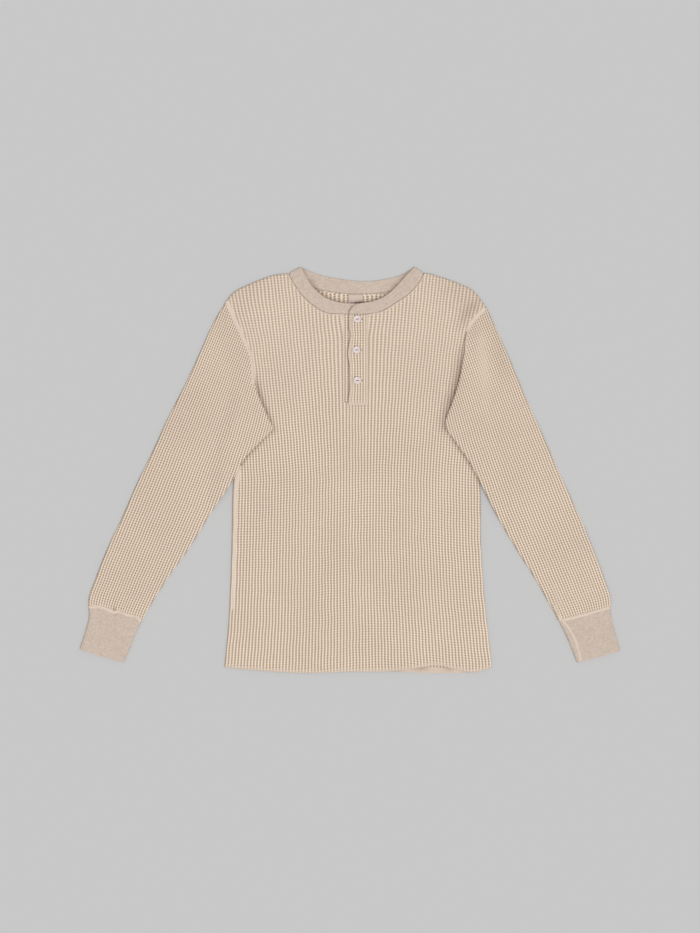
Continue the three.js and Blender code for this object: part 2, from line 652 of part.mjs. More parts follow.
// The collar: a band through sections, face up over the front, folded over each shoulder and laid
// inside up at the back. Each section has its free edge, its seam edge and the way its face looks.
function collarBand() {
  const half = COLLAR_WALL / 2;
  const frontMiddle = FRONT_LEVEL + half;
  const edgeCurve = (rows, edge) => {
    const spots = rows.map((row) => ({ x: row[`${edge}X`], y: row[`${edge}Y`] }));
    return planCurve(spots);
  };
  const along = (rows, steps, level, faceUp) => {
    const free = edgeCurve(rows, 'free').getPoints(steps);
    const seam = edgeCurve(rows, 'seam').getPoints(steps);
    return free.map((point, k) => ({
      free: new THREE.Vector3(point.x, point.y, level(point.x, k / steps)),
      seam: new THREE.Vector3(seam[k].x, seam[k].y, level(seam[k].x, k / steps)),
      face: new THREE.Vector3(0, 0, faceUp ? 1 : -1),
    }));
  };
  const lapped = (x) => frontMiddle + COLLAR_LAP * (1 - smooth(COLLAR_LAP_ENDS, COLLAR_LAP_STARTS, x));
  const radius = (frontMiddle - half) / 2;
  const foldLevel = half + radius;
  const inward = radius + half;
  const fold = (row, side, downwards) => {
    const free = new THREE.Vector2(row.freeX, row.freeY);
    const seam = new THREE.Vector2(row.seamX, row.seamY);
    const line = seam.clone().sub(free).normalize();
    seam.addScaledVector(line, -COLLAR_FOLD_TUCK);
    const outward = new THREE.Vector2(-line.y * side, line.x * side);
    const steps = [...Array(COLLAR_FOLD_STEPS).keys()].map((k) => {
      const angle = degrees(90 - (180 * k) / (COLLAR_FOLD_STEPS - 1));
      const reach = radius * Math.cos(angle) - inward;
      const place = (p) => new THREE.Vector3(
        p.x + outward.x * reach,
        p.y + outward.y * reach,
        foldLevel + radius * Math.sin(angle),
      );
      const sideways = outward.clone().multiplyScalar(Math.cos(angle));
      const face = new THREE.Vector3(sideways.x, sideways.y, Math.sin(angle));
      return { free: place(free), seam: place(seam), face };
    });
    return downwards ? steps : steps.reverse();
  };
  const leftFold = COLLAR_BACK[0];
  const rightFold = COLLAR_BACK[COLLAR_BACK.length - 1];
  const sections = [
    ...along(COLLAR_FRONT_LEFT, COLLAR_STEPS, () => frontMiddle, true).slice(0, -1),
    ...fold(leftFold, -1, true),
    ...along(COLLAR_BACK, COLLAR_STEPS, () => half, false).slice(1, -1),
    ...fold(rightFold, 1, false),
    ...along(COLLAR_FRONT_RIGHT, COLLAR_STEPS, (x) => lapped(x), true).slice(1),
  ];
  const points = sections.flatMap(({ free, seam, face }) => [
    free.clone().addScaledVector(face, half),
    seam.clone().addScaledVector(face, half),
    seam.clone().addScaledVector(face, -half),
    free.clone().addScaledVector(face, -half),
  ]);
  const sides = 4;
  const triangles = [];
  for (let row = 0; row + 1 < sections.length; row += 1) {
    for (let k = 0; k < sides; k += 1) {
      const a = row * sides + k;
      const b = row * sides + ((k + 1) % sides);
      triangles.push(a, b, b + sides, a, b + sides, a + sides);
    }
  }
  const end = (sections.length - 1) * sides;
  triangles.push(0, 2, 1, 0, 3, 2, end, end + 1, end + 2, end, end + 2, end + 3);
  return fromSolid(toSolid(meshGeometry(points, triangles)));
}

// Upper placket strip: ribbed, with a free edge that wanders and lifts between the buttons
function placketOver() {
  const columns = 2 * PLACKET_RIBS + 3;
  const rowSpots = OVER_STRIP_EDGE.flatMap(({ y }, k) => {
    const next = OVER_STRIP_EDGE[k + 1];
    return next ? [y, (y + next.y) / 2] : [y];
  });
  const place = (i, j) => {
    const y = mix(OVER_STRIP_FOOT, PLACKET_TOP - SEAM_GAP, j / (rowSpots.length - 1));
    const u = i / (columns - 1);
    const shift = lookUp(OVER_STRIP_EDGE, 'y', 'shift', y) * (1 - u) ** 2;
    const lift = lookUp(OVER_STRIP_EDGE, 'y', 'lift', y) * (1 - u) ** 3;
    return { x: mix(OVER_STRIP_LEFT, OVER_STRIP_RIGHT, u) + shift, y, lift };
  };
  const top = (i, j) => {
    const { x, y, lift } = place(i, j);
    const onRib = i % 2 !== 0 && i > 1 ? RIB_RISE : 0;
    return new THREE.Vector3(x, y, OVER_FRONT + OVER_STRIP_WALL + onRib + lift);
  };
  const underside = (i, j) => {
    const { x, y, lift } = place(i, j);
    return new THREE.Vector3(x, y, OVER_FRONT + lift);
  };
  let solid = toSolid(sheet(columns, rowSpots.length, top, underside));
  BUTTONS.forEach(({ x, y }) => {
    const slot = new THREE.BoxGeometry(BUTTONHOLE_LENGTH, BUTTONHOLE_WIDTH, PRISM_TOP).translate(x, y, 0);
    solid = solid.subtract(toSolid(slot));
  });
  return fromSolid(solid);
}

// Lower placket strip: plain, filling the slit of the front
function placketUnder() {
  const left = PLACKET_LEFT + SEAM_GAP;
  const right = PLACKET_RIGHT - SEAM_GAP;
  const foot = PLACKET_FOOT + SEAM_GAP;
  const top = PLACKET_TOP;
  const corners = [[left, foot], [right, foot], [right, top], [left, top]];
  return prism(corners.map(([x, y]) => new THREE.Vector2(x, y)), FRONT_LEVEL, FRONT_LEVEL + PLACKET_WALL);
}

// A turned button with a raised rim, an eye-shaped hollow and two thread holes
function button({ x, y }) {
  const profile = BUTTON_PROFILE.map(({ out, up }) => (
    new THREE.Vector2((out * BUTTON_DIAMETER) / 2, up * BUTTON_HEIGHT)
  ));
  const face = profile[profile.length - 1].y;
  const level = OVER_STRIP_TOP + BUTTON_CLEARANCE;
  let solid = toSolid(new THREE.LatheGeometry(profile, BUTTON_SIDES).rotateX(Math.PI / 2));
  const { long, wide, deep, sides, rings } = BUTTON_EYE;
  const eye = new THREE.SphereGeometry(1, sides, rings).scale(long, wide, deep);
  solid = solid.subtract(toSolid(eye.translate(0, 0, face)));
  [-1, 1].forEach((side) => {
    const radius = THREAD_HOLE_RADIUS;
    const hole = new THREE.CylinderGeometry(radius, radius, 4 * BUTTON_HEIGHT, rings).rotateX(Math.PI / 2);
    solid = solid.subtract(toSolid(hole.translate((side * THREAD_HOLE_SPACING) / 2, 0, 0)));
  });
  return fromSolid(solid).translate(x, y, level);
}

function neckLabel() {
  const { left, right, top, foot, wall } = LABEL;
  const corners = [[left, foot], [right, foot], [right, top], [left, top]];
  return prism(corners.map(([x, y]) => new THREE.Vector2(x, y)), FRONT_LEVEL, FRONT_LEVEL + wall);
}

const shirt = new THREE.Group();

function addPiece(name, geometry, finish) {
  const piece = new THREE.Mesh(bareGeometry(geometry), new THREE.MeshStandardMaterial(finish));
  piece.name = name;
  shirt.add(piece);
}

addPiece('back', backPanel(), WAFFLE);
addPiece('front', frontPanel(), WAFFLE);
[
  { name: 'sleeve_left', table: SLEEVE_LEFT, mouth: ARMHOLE_LEFT.slice(0, 6) },
  { name: 'sleeve_right', table: SLEEVE_RIGHT, mouth: ARMHOLE_RIGHT.slice(0, 5) },
].forEach(({ name, table, mouth }) => {
  addPiece(name, laidTube({ table, mouth, ribs: SLEEVE_RIBS, lift: true }), WAFFLE);
});
[
  { name: 'cuff_left', table: CUFF_LEFT },
  { name: 'cuff_right', table: CUFF_RIGHT },
].forEach(({ name, table }) => {
  addPiece(name, laidTube({ table, plainSteps: CUFF_STEPS, lift: false }), JERSEY);
});
addPiece('collar', collarBand(), JERSEY);
addPiece('placket_under', placketUnder(), JERSEY);
addPiece('placket_over', placketOver(), WAFFLE);
BUTTONS.forEach((spot) => addPiece(spot.name, button(spot), PEARL));
addPiece('label', neckLabel(), TAPE);

// The tables are drawn about the body, so the whole is moved to sit centred over the origin
const box = new THREE.Box3().setFromObject(shirt);
shirt.position.set(-(box.min.x + box.max.x) / 2, -(box.min.y + box.max.y) / 2, 0);

export default shirt;
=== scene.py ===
# %% [markdown]
# # A henley in waffle knit, laid flat
# This lesson dresses the plain solids of a long-sleeved henley shirt. The solids say how large each
# piece is and where it lies. Here each piece gets its real surface: the ribs and pits of the knit,
# the smooth jersey of the collar and the cuffs, the seams with their stitches, and pearl buttons.
#
# The first cell loads the solids and keeps their box. Their box is kept, because no piece may grow
# past it.

import math
from types import SimpleNamespace

import bmesh
import bpy
import numpy as np
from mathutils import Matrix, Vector
from mathutils.bvhtree import BVHTree
from mathutils.geometry import delaunay_2d_cdt
from mathutils.kdtree import KDTree


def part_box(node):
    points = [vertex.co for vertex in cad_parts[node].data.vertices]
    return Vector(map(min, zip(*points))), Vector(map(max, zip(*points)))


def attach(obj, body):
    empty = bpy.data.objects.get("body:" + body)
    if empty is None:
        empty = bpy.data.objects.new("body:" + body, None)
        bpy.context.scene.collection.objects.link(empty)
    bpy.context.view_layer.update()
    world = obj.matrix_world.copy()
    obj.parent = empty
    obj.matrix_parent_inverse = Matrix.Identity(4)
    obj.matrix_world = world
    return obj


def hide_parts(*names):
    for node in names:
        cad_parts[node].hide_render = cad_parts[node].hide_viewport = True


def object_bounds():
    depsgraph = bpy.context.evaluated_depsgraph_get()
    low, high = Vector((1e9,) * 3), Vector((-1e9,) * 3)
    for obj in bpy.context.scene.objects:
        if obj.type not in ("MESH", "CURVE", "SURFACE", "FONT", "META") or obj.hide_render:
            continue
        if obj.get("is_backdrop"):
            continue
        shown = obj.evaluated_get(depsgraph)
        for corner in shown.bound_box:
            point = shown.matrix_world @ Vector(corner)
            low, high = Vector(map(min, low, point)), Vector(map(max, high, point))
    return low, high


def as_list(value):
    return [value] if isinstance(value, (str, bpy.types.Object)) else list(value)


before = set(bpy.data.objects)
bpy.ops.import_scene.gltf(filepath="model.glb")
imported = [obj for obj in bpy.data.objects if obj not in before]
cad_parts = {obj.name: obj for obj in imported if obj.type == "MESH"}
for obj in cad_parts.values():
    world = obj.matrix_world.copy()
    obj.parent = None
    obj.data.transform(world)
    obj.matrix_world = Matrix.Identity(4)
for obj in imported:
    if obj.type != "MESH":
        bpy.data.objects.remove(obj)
cad_low, cad_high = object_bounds()
print("solids:", sorted(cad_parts))
print("their box:", [round(side, 4) for side in cad_high - cad_low])


def placed_object(name, data):
    made = bpy.data.objects.new(name, data)
    bpy.context.scene.collection.objects.link(made)
    return made


# %% [markdown]
# ## Looking straight down
# A flat garment is photographed from above. The camera hangs over the shirt and looks straight
# down, so it needs no turn at all: a Blender camera looks along -Z when it is made. Its lens is
# worked out from the height of the picture on the floor.

# %% Camera
CAMERA_HEIGHT = 4.0
PICTURE_HEIGHT = 1.586
PICTURE_CENTRE = (0.0, 0.0058)
SENSOR = 36.0

camera_data = bpy.data.cameras.new("camera")
camera_data.sensor_width = SENSOR
camera_data.lens = SENSOR * CAMERA_HEIGHT / PICTURE_HEIGHT
camera = placed_object("camera", camera_data)
camera.location = (*PICTURE_CENTRE, CAMERA_HEIGHT)
bpy.context.scene.camera = camera
print("lens:", round(camera_data.lens, 1), "mm")

# %% [markdown]
# ## Lines and how to measure from them
# Patterns for clothes are drawn with a few points joined by smooth curves, so the same is done
# here. All drawing is in millimetres, and a mesh is turned into metres when it is made. Two
# questions come back for every piece: how far is a point from a line, and does it lie inside an
# outline. Both are answered for many points at once.

# %% Curves and distances
MM = 0.001
CURVE_PIECES = 12
FINE_STEP = 2.5
LARGEST_BATCH = 2_000_000


def ease(start, end, value):
    t = np.clip((np.asarray(value, float) - start) / (end - start), 0, 1)
    return t * t * (3 - 2 * t)


def bell(value, wide):
    """1 at zero, and falling away on both sides."""
    return np.exp(-((value / wide) ** 2))


def unit(direction):
    return direction / np.linalg.norm(direction)


def closed(outline):
    return np.vstack([outline, outline[:1]])


def smooth_line(points):
    """A curve through the points, as a line of many short steps."""
    points = np.asarray(points, float)
    around = np.vstack([points[:1], points, points[-1:]])
    t = np.linspace(0, 1, CURVE_PIECES, endpoint=False)[:, None]
    parts = []
    for before, a, b, after in zip(around[:-3], around[1:-2], around[2:-1], around[3:]):
        leave, arrive = (b - before) / 2, (after - a) / 2
        cubic = 2 * a - 2 * b + leave + arrive
        square = 3 * b - 3 * a - 2 * leave - arrive
        parts.append(cubic * t**3 + square * t**2 + leave * t + a)
    return np.vstack([*parts, points[-1:]])


def run_of(line):
    """How far along the line each of its points lies."""
    return np.concatenate([[0], np.cumsum(np.linalg.norm(np.diff(line, axis=0), axis=1))])


def along(line, places):
    """The points at these places, from 0 at the start of a line to 1 at its end."""
    run = run_of(line)
    return np.stack([np.interp(np.asarray(places) * run[-1], run, column) for column in line.T], -1)


def spaced(line, spacing):
    count = max(2, round(run_of(line)[-1] / spacing) + 1)
    return along(line, np.linspace(0, 1, count))


def nearest(line, points):
    """For each point its distance to a line, the nearest spot on it and how far along that is."""
    run = run_of(line)
    places = np.unique(np.concatenate([run, np.arange(0, run[-1], FINE_STEP)]))
    line = np.stack([np.interp(places, run, column) for column in line.T], -1)
    tree = KDTree(len(line))
    for number, (x, y) in enumerate(line.tolist()):
        tree.insert((x, y, 0), number)
    tree.balance()
    near = np.fromiter((tree.find((x, y, 0))[1] for x, y in points.tolist()), int, len(points))
    found = np.full((len(points), 4), np.inf)
    for shift in (-2, -1, 0, 1):
        row = np.clip(near + shift, 0, len(line) - 2)
        start, step = line[row], line[row + 1] - line[row]
        square = np.maximum((step**2).sum(1), 1e-12)
        t = np.clip(((points - start) * step).sum(1) / square, 0, 1)
        foot = start + t[:, None] * step
        gap = np.hypot(*(points - foot).T)
        better = gap < found[:, 0]
        place = places[row] + t * np.sqrt(square)
        found[better] = np.column_stack([gap, foot, place])[better]
    return found


def leftward(line):
    """For each point of a line, the direction to its left."""
    heading = np.gradient(line, axis=0)
    heading /= np.linalg.norm(heading, axis=1)[:, None]
    return np.column_stack([-heading[:, 1], heading[:, 0]])


def shifted(line, distance):
    """A line moved sideways, to its left for a positive distance."""
    return line + leftward(line) * distance


def is_inside(outline, points):
    a, b = outline, np.roll(outline, -1, axis=0)
    rise = np.where(a[:, 1] == b[:, 1], 1.0, b[:, 1] - a[:, 1])
    batches = max(1, len(points) * len(a) // LARGEST_BATCH)
    found = []
    for part in np.array_split(points, batches):
        x, y = part[:, :1], part[:, 1:]
        spans = (a[:, 1] > y) != (b[:, 1] > y)
        crosses = spans & (x < (b[:, 0] - a[:, 0]) * (y - a[:, 1]) / rise + a[:, 0])
        found.append(crosses.sum(1) % 2 == 1)
    return np.concatenate(found)


def depth_in(outline, points):
    """Distance to an outline: positive inside it and negative outside."""
    gap = nearest(closed(outline), points)[:, 0]
    return np.where(is_inside(outline, points), gap, -gap)


def area_of(outline):
    x, y = np.asarray(outline).T
    return abs((x * np.roll(y, -1) - y * np.roll(x, -1)).sum()) / 2


# %% [markdown]
# ## The pattern pieces
# These are the lines of the real pattern: the armholes, the side and shoulder seams and the hems,
# each from the neck downwards or from left to right. They are the same lines that the solids were
# made from, and one known corner of a solid tells how the whole was moved onto its origin.

# %% Body pattern
ARMHOLE_LEFT = np.array(
    [
        (-209, 289), (-202, 271), (-187, 238), (-170, 201), (-165, 183), (-163, 146), (-170, 100),
        (-185, 56),
    ],
    float,
)
ARMHOLE_RIGHT = np.array(
    [(231, 277), (213, 259), (201, 242), (195, 222), (194, 201), (188, 146), (194, 99), (207, 56)], float
)
SIDE_LEFT = np.array(
    [(-185, 56), (-198, -22), (-200.5, -119), (-203, -200), (-206, -262), (-213, -335)], float
)
SIDE_RIGHT = np.array([(207, 56), (221, -32), (222, -119), (228, -215), (236, -290), (241, -335)], float)
SHOULDER_LEFT = np.array([(-105, 334), (-133, 330), (-170, 316), (-196, 303), (-209, 289)], float)
SHOULDER_RIGHT = np.array([(126, 335), (148, 330), (187, 316), (211, 303), (231, 277)], float)
HEM_FRONT = np.array(
    [
        (-213, -335), (-150, -341), (-73, -345), (0, -342.5), (60, -342.5),
        (110, -337), (148, -332), (179, -339), (211, -343.5), (241, -335),
    ],
    float,
)
HEM_BACK = np.array(
    [
        (-213, -335), (-150, -340), (-73, -344), (0, -342), (60, -342), (148, -345), (211, -343),
        (241, -335),
    ],
    float,
)

# %% Collar pattern: the free edge's x and y, then the seam's x and y
COLLAR_FRONT_LEFT = np.array(
    [
        (23.5, 283.2, 23.5, 265.4), (-2.7, 283.2, -2.7, 265.4), (-17, 284.6, -20.4, 265.4),
        (-32.3, 289, -40.8, 267.9), (-47.6, 296.7, -59.5, 277.6), (-65.3, 313.7, -81.6, 297.5),
        (-76.5, 331.5, -95.2, 317), (-83.3, 345.1, -104.7, 334.1),
    ]
)
COLLAR_BACK = np.array(
    [
        (-83.3, 345.1, -104.7, 334.1), (-64.6, 336.5, -81.6, 318.8), (-42.5, 329.3, -56.1, 308.2),
        (-11.9, 323.9, -22.1, 301.9), (11.9, 321.3, 11.9, 299.2), (37.4, 321.3, 44.2, 301.1),
        (64.6, 325.4, 69.7, 304.3), (86.7, 331.5, 98.6, 316.2), (109.7, 345.4, 125.8, 334.9),
    ]
)
COLLAR_FRONT_RIGHT = np.array(
    [
        (109.7, 345.4, 125.8, 334.9), (96.9, 332.4, 116.5, 317.9), (78.2, 311.8, 98.6, 298.4),
        (59.8, 295.8, 78.2, 284.9), (39.1, 286.8, 56.1, 271.2), (20.4, 283.6, 32.3, 265.6),
        (9.9, 281.4, -0.9, 264.9),
    ]
)
NECK_MIDDLE = np.array([10.5, 350.0])
NECK_SEAM_GAP = 0.75

# %% Levels of the layers, and where the pattern was moved to
CLOTH = 2.0
SEAM_GAP = 0.3
RIB_RISE = 0.5
FRONT_LEVEL = CLOTH + SEAM_GAP
FRONT_CLOTH = FRONT_LEVEL + CLOTH
OVER_FRONT = FRONT_CLOTH + RIB_RISE + SEAM_GAP
PLACKET = SimpleNamespace(left=-11.9, right=28.3, foot=115.3, top=265.0, wall=2.5)

strip_low, strip_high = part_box("placket_under")
MOVED = np.array(
    [
        strip_low.x / MM - (PLACKET.left + SEAM_GAP),
        strip_high.y / MM - PLACKET.top,
        strip_low.z / MM - FRONT_LEVEL,
    ]
)
print("pattern moved by", MOVED.round(3), "mm")

# %% Outline of the front and of the back
OUTLINE_STEP = 4.0


def edge(points, backwards=False):
    line = spaced(smooth_line(points), OUTLINE_STEP)
    return (line[::-1] if backwards else line)[:-1]


def neck_edge(rows):
    line = edge(rows[:, 2:])
    away = line - NECK_MIDDLE
    return line + away / np.linalg.norm(away, axis=1)[:, None] * NECK_SEAM_GAP


def body_outline(hem, neck):
    return np.vstack(
        [
            edge(hem), edge(SIDE_RIGHT, True), edge(ARMHOLE_RIGHT, True), edge(SHOULDER_RIGHT, True),
            neck, edge(SHOULDER_LEFT), edge(ARMHOLE_LEFT), edge(SIDE_LEFT),
        ]
    )


slit_right = [(PLACKET.right, PLACKET.top), (PLACKET.right, PLACKET.foot)]
slit = [*slit_right, (PLACKET.left, PLACKET.foot), (PLACKET.left, PLACKET.top)]
front_neck = np.vstack([neck_edge(COLLAR_FRONT_RIGHT[:-1]), slit, neck_edge(COLLAR_FRONT_LEFT[2:])])
front_outline = body_outline(HEM_FRONT, front_neck)
back_outline = body_outline(HEM_BACK, neck_edge(COLLAR_BACK[::-1]))
whole_outline = body_outline(HEM_FRONT, np.empty((0, 2)))
print("front and back:", [round(area_of(line) / 1e6, 3) for line in (front_outline, back_outline)], "m2")


def body_depth(points):
    return depth_in(whole_outline, points)

# %% [markdown]
# ## The waffle
# Waffle knit is a grid of cells. Ribs run up the shirt, with a valley between each two, and weaker
# ridges cross the valleys and leave a pit in each cell. A texture could fake this, but a waffle is
# deep enough to cast shadows and to break up an edge, so it is built here in real points: two
# numbers tell where a point lies in the knit, the rib and the course, and one rule turns them into
# a height. A cell needs few points, because they sit on its rib, its flanks and its valley.

# %% Height of the waffle
RIB_CROWN = 0.5
PIT_FLOOR = -0.75
CROSS_RIDGE = 0.56
BEAD = 0.22


def waffle(rib, course):
    """Height over the middle of the cloth, on ribs at half numbers and pits between whole ones."""
    on_rib = (0.5 - 0.5 * np.cos(2 * np.pi * rib)) ** 0.85
    on_ridge = 0.5 + 0.5 * np.cos(2 * np.pi * course)
    valley = PIT_FLOOR + CROSS_RIDGE * on_ridge
    return valley + on_rib * (RIB_CROWN - valley - BEAD * (1 - on_ridge))

# %% [markdown]
# ## Where ribs run on the body
# The ribs run straight up from the hem. Towards the shoulders they spread and lean out with the
# armhole seams, and beside the placket they are pushed apart a little, because the slit is wider
# than the cloth that was cut away for it. The knit is soft, so its ribs also sway slightly.

# %% Rib lines of the body
BODY_RIBS = 83
BODY_COURSE = 4.34
TOP_LINE = 352.0
LEAN_LEFT = SimpleNamespace(edge=-163, reach=60, amount=-12, start=200, full=300)
LEAN_RIGHT = SimpleNamespace(edge=194, reach=60, amount=12, start=200, full=300)
SPREAD = SimpleNamespace(middle=8.0, free=14.0, most=30.0, reach=50.0, start=-17.0, over=289.0, power=1.3)
ARCH = SimpleNamespace(
    middle=50.0, rise_low=14.0, rise_high=24.0, wide_low=110.0, wide_high=150.0, low=-250, high=50
)
# Columns: size, length of the wave across and up, and where it starts
SWAY = ((0.45, 61, 173, 0.4), (0.35, 149, 83, 2.1), (0.3, 17, 7.5, 0.9))
BESIDE_PLACKET = SimpleNamespace(most=5.0, start=222, full=262, near=12, far=50)


def rib_x(share, y):
    """A rib's place across the body, from 0 at its left side to 1 at its right side."""
    low_y = np.minimum(y, SIDE_LEFT[1, 1])
    left = np.interp(low_y, SIDE_LEFT[::-1, 1], SIDE_LEFT[::-1, 0])
    right = np.interp(np.minimum(y, SIDE_RIGHT[1, 1]), SIDE_RIGHT[::-1, 1], SIDE_RIGHT[::-1, 0])
    x = left + (right - left) * share
    leans_left = 1 - np.clip((x - LEAN_LEFT.edge) / LEAN_LEFT.reach, 0, 1)
    leans_right = 1 - np.clip((LEAN_RIGHT.edge - x) / LEAN_RIGHT.reach, 0, 1)
    shift = LEAN_LEFT.amount * leans_left * ease(LEAN_LEFT.start, LEAN_LEFT.full, y)
    shift += LEAN_RIGHT.amount * leans_right * ease(LEAN_RIGHT.start, LEAN_RIGHT.full, y)
    away = x - SPREAD.middle
    spread = SPREAD.most * (1 - np.exp(-np.maximum(np.abs(away) - SPREAD.free, 0) / SPREAD.reach))
    upward = (np.maximum(y - SPREAD.start, 0) / SPREAD.over) ** SPREAD.power
    return x + shift + np.sign(away) * spread * upward


def arch(x, y):
    """The courses rise in an arch over the middle of the body."""
    up = ease(ARCH.low, ARCH.high, y)
    rise = ARCH.rise_low + (ARCH.rise_high - ARCH.rise_low) * up
    wide = ARCH.wide_low + (ARCH.wide_high - ARCH.wide_low) * up
    return rise * bell(x - ARCH.middle, wide)


def beside_placket(x, y):
    """How far the top of the placket pushes a rib away from its middle line."""
    away, rule = x - SPREAD.middle, BESIDE_PLACKET
    return rule.most * ease(rule.start, rule.full, y) * np.tanh(away / rule.near) * bell(away, rule.far)


def sway(x, y):
    return sum(size * np.sin(x / wide + turn) * np.sin(y / high + turn) for size, wide, high, turn in SWAY)


def body_place(rib, course):
    y = TOP_LINE - BODY_COURSE * course
    y = y + arch(rib_x(rib / BODY_RIBS, y), y)
    x = rib_x(rib / BODY_RIBS, y)
    return np.stack([x + beside_placket(x, y) + sway(x, y), y + 2 * sway(y, x)], -1)

# %% [markdown]
# ## Trimming a grid to an outline
# A knitter cuts a panel out of a roll of knit. The same is done here: a grid of points follows the
# ribs, the points outside the outline are dropped, and those just outside it are drawn onto it. So
# the ribs stay straight and run out at a seam, as in cut cloth, and the edge stays clean.

# %% Cut a knit panel
TRIM = 0.35


def knit_stops(ribs, courses, fine):
    """The ribs and courses of a grid's points, with so many points to a cell each way."""
    spans = zip((ribs, courses), fine)
    return np.meshgrid(*[np.arange(round(low * n), round(high * n) + 1) / n for (low, high), n in spans])


def knit_grid(outline, place, ribs, courses, fine):
    rib, course = knit_stops(ribs, courses, fine)
    xy = place(rib, course)
    flat = xy.reshape(-1, 2)
    found = nearest(closed(outline), flat)
    depth = np.where(is_inside(outline, flat), found[:, 0], -found[:, 0]).reshape(rib.shape)
    kept = np.pad(depth > TRIM, 1)
    grown = np.zeros_like(kept)
    for down in (-1, 0, 1):
        for right in (-1, 0, 1):
            grown |= np.roll(kept, (down, right), (0, 1))
    kept, used = kept[1:-1, 1:-1], grown[1:-1, 1:-1]
    border = used & ~kept
    xy[border] = found[:, 1:3].reshape(xy.shape)[border]
    number = np.full(rib.shape, -1)
    number[used] = np.arange(used.sum())
    whole = kept[:-1, :-1] | kept[1:, :-1] | kept[:-1, 1:] | kept[1:, 1:]
    corners = number[:-1, :-1], number[:-1, 1:], number[1:, 1:], number[1:, :-1]
    faces = np.stack([corner[whole] for corner in corners], 1)
    grid = SimpleNamespace(xy=xy[used], rib=rib[used], course=course[used], faces=faces)
    x, y = grid.xy[faces].transpose(2, 0, 1)
    if ((np.roll(y, -1, 1) * x) - (np.roll(x, -1, 1) * y)).sum() < 0:
        grid.faces = faces[:, ::-1]
    grid.rim = rim_of(grid.faces)
    return grid


def rim_of(faces):
    """The open border of a sheet, as one loop of vertex numbers."""
    sides = {(a, b) for face in faces.tolist() for a, b in zip(face, face[1:] + face[:1])}
    onward = {a: b for a, b in sides if (b, a) not in sides}
    loop = [min(onward)]
    while onward[loop[-1]] != loop[0]:
        loop.append(onward[loop[-1]])
    if len(loop) != len(onward):
        raise ValueError(f"the border has {len(onward)} sides and one loop of {len(loop)}")
    return np.array(loop)

# %% [markdown]
# ## Closing the wall
# Cloth is a wall with two sides. The far side needs few points, so it is filled with large
# triangles between the panel's own border and a sparse grid, and a narrow rim joins the two.

# %% Fill a border with large triangles
def filled(border, inner):
    """Triangles inside a loop of points and through some inner points, and all the points used."""
    count = len(border)
    loop = [(k, (k + 1) % count) for k in range(count)]
    given = np.vstack([border, inner])
    points, _, faces, origin, _, _ = delaunay_2d_cdt([Vector(p) for p in given], loop, [], 1, 1e-7)
    extra = [k for k, known in enumerate(origin) if not known]
    number = {k: known[0] for k, known in enumerate(origin) if known}
    number.update({k: len(given) + n for n, k in enumerate(extra)})
    every = np.vstack([given, *[np.array(points[k])[None] for k in extra]])
    return every, [[number[k] for k in face] for face in faces]


def sparse_points(outline, spacing, margin):
    low, high = outline.min(0), outline.max(0)
    across = np.arange(low[0] + spacing / 2, high[0], spacing)
    upward = np.arange(low[1] + spacing / 2, high[1], spacing)
    points = np.stack(np.meshgrid(across, upward), -1).reshape(-1, 2)
    return points[depth_in(outline, points) > margin]


# %% [markdown]
# Light hardly reaches the cloth beside a deep fold or under an overhanging edge. Laid cloth has
# deeper folds than a thin flat shell can have, so each point also gets a number for how dark it is,
# and this painted shade darkens its colour. The table says where: along a line, as far as a width,
# and only on cloth that lies below a level, so that the fold on top stays bright. Broad, weak rows
# also paint shade over the shoulders, over the left sleeve and on a patch of the right sleeve.

# %% Where shade is painted on the cloth
SHOWN_ABOVE = 99.0
DARKEST_SHADE = 0.75
# Columns: the path, the width, the strength and the level below which the cloth is shaded
PAINTED_SHADES = (
    (((-166, 165), (-153, 121), (-141, 93), (-131, 69)), 7, 0.42, 6.9),
    (((-132, 70), (-154, 46), (-180, 18), (-203, -24)), 4.5, 0.34, 6.5),
    (((196, 208), (190, 178), (184, 146), (172, 112), (161, 74)), 9.5, 0.55, 6.9),
    (((161.5, 76), (180, 46), (204, 11), (226, -32)), 5, 0.34, 6.5),
    (COLLAR_FRONT_LEFT[:, :2], 5, 0.48, 3.2),
    (COLLAR_FRONT_RIGHT[:, :2], 5, 0.44, 3.2),
    (((-215, 280), (-180, 318), (-130, 328)), 38, 0.1, SHOWN_ABOVE),
    (((228, 275), (190, 316), (148, 330)), 36, 0.11, SHOWN_ABOVE),
    (((216, 286), (200, 268), (188, 246)), 10, 0.2, SHOWN_ABOVE),
    (((-400, -233), (-399, -246)), 2.4, 0.4, SHOWN_ABOVE),
    (HEM_FRONT, 2.6, 0.45, 2.25),
    (((-240, 200), (-330, 20), (-430, -250)), 75, 0.035, SHOWN_ABOVE),
    (((21, 286), (8.5, 283), (1.7, 277), (-1.7, 266)), 2.2, 0.6, 4.7),
    (
        (
            (-1.4, 264), (-1.7, 242), (0.7, 229), (-3.5, 199), (-1.1, 178), (-0.5, 140), (-2.7, 120),
            (-1.7, 111),
        ),
        2.1, 0.62, 5.2,
    ),
    (((250, 244), (257, 190), (264, 146)), 14, 0.1, SHOWN_ABOVE),
)


# The painted shade at each point: the sum of the table's rows, up to the darkest shade
def painted_shade(points):
    total = np.zeros(len(points))
    for path, wide, strength, below in PAINTED_SHADES:
        line = smooth_line(path)
        low, high = line.min(0) - 2.5 * wide, line.max(0) + 2.5 * wide
        near = (points[:, 2] < below) & ((points[:, :2] > low) & (points[:, :2] < high)).all(1)
        found = nearest(line, points[near, :2])
        at_ends = np.sin(np.pi * (0.08 + 0.84 * found[:, 3] / run_of(line)[-1])) ** 0.6
        total[near] += strength * bell(found[:, 0], wide) * at_ends
    return total.clip(0, DARKEST_SHADE)


# %% Make a mesh from groups of faces
KNIT_MAP = "knit"
SMOOTH_ANGLE = math.radians(75)
WELD = 0.004 * MM
SLIVER = 0.1 * MM


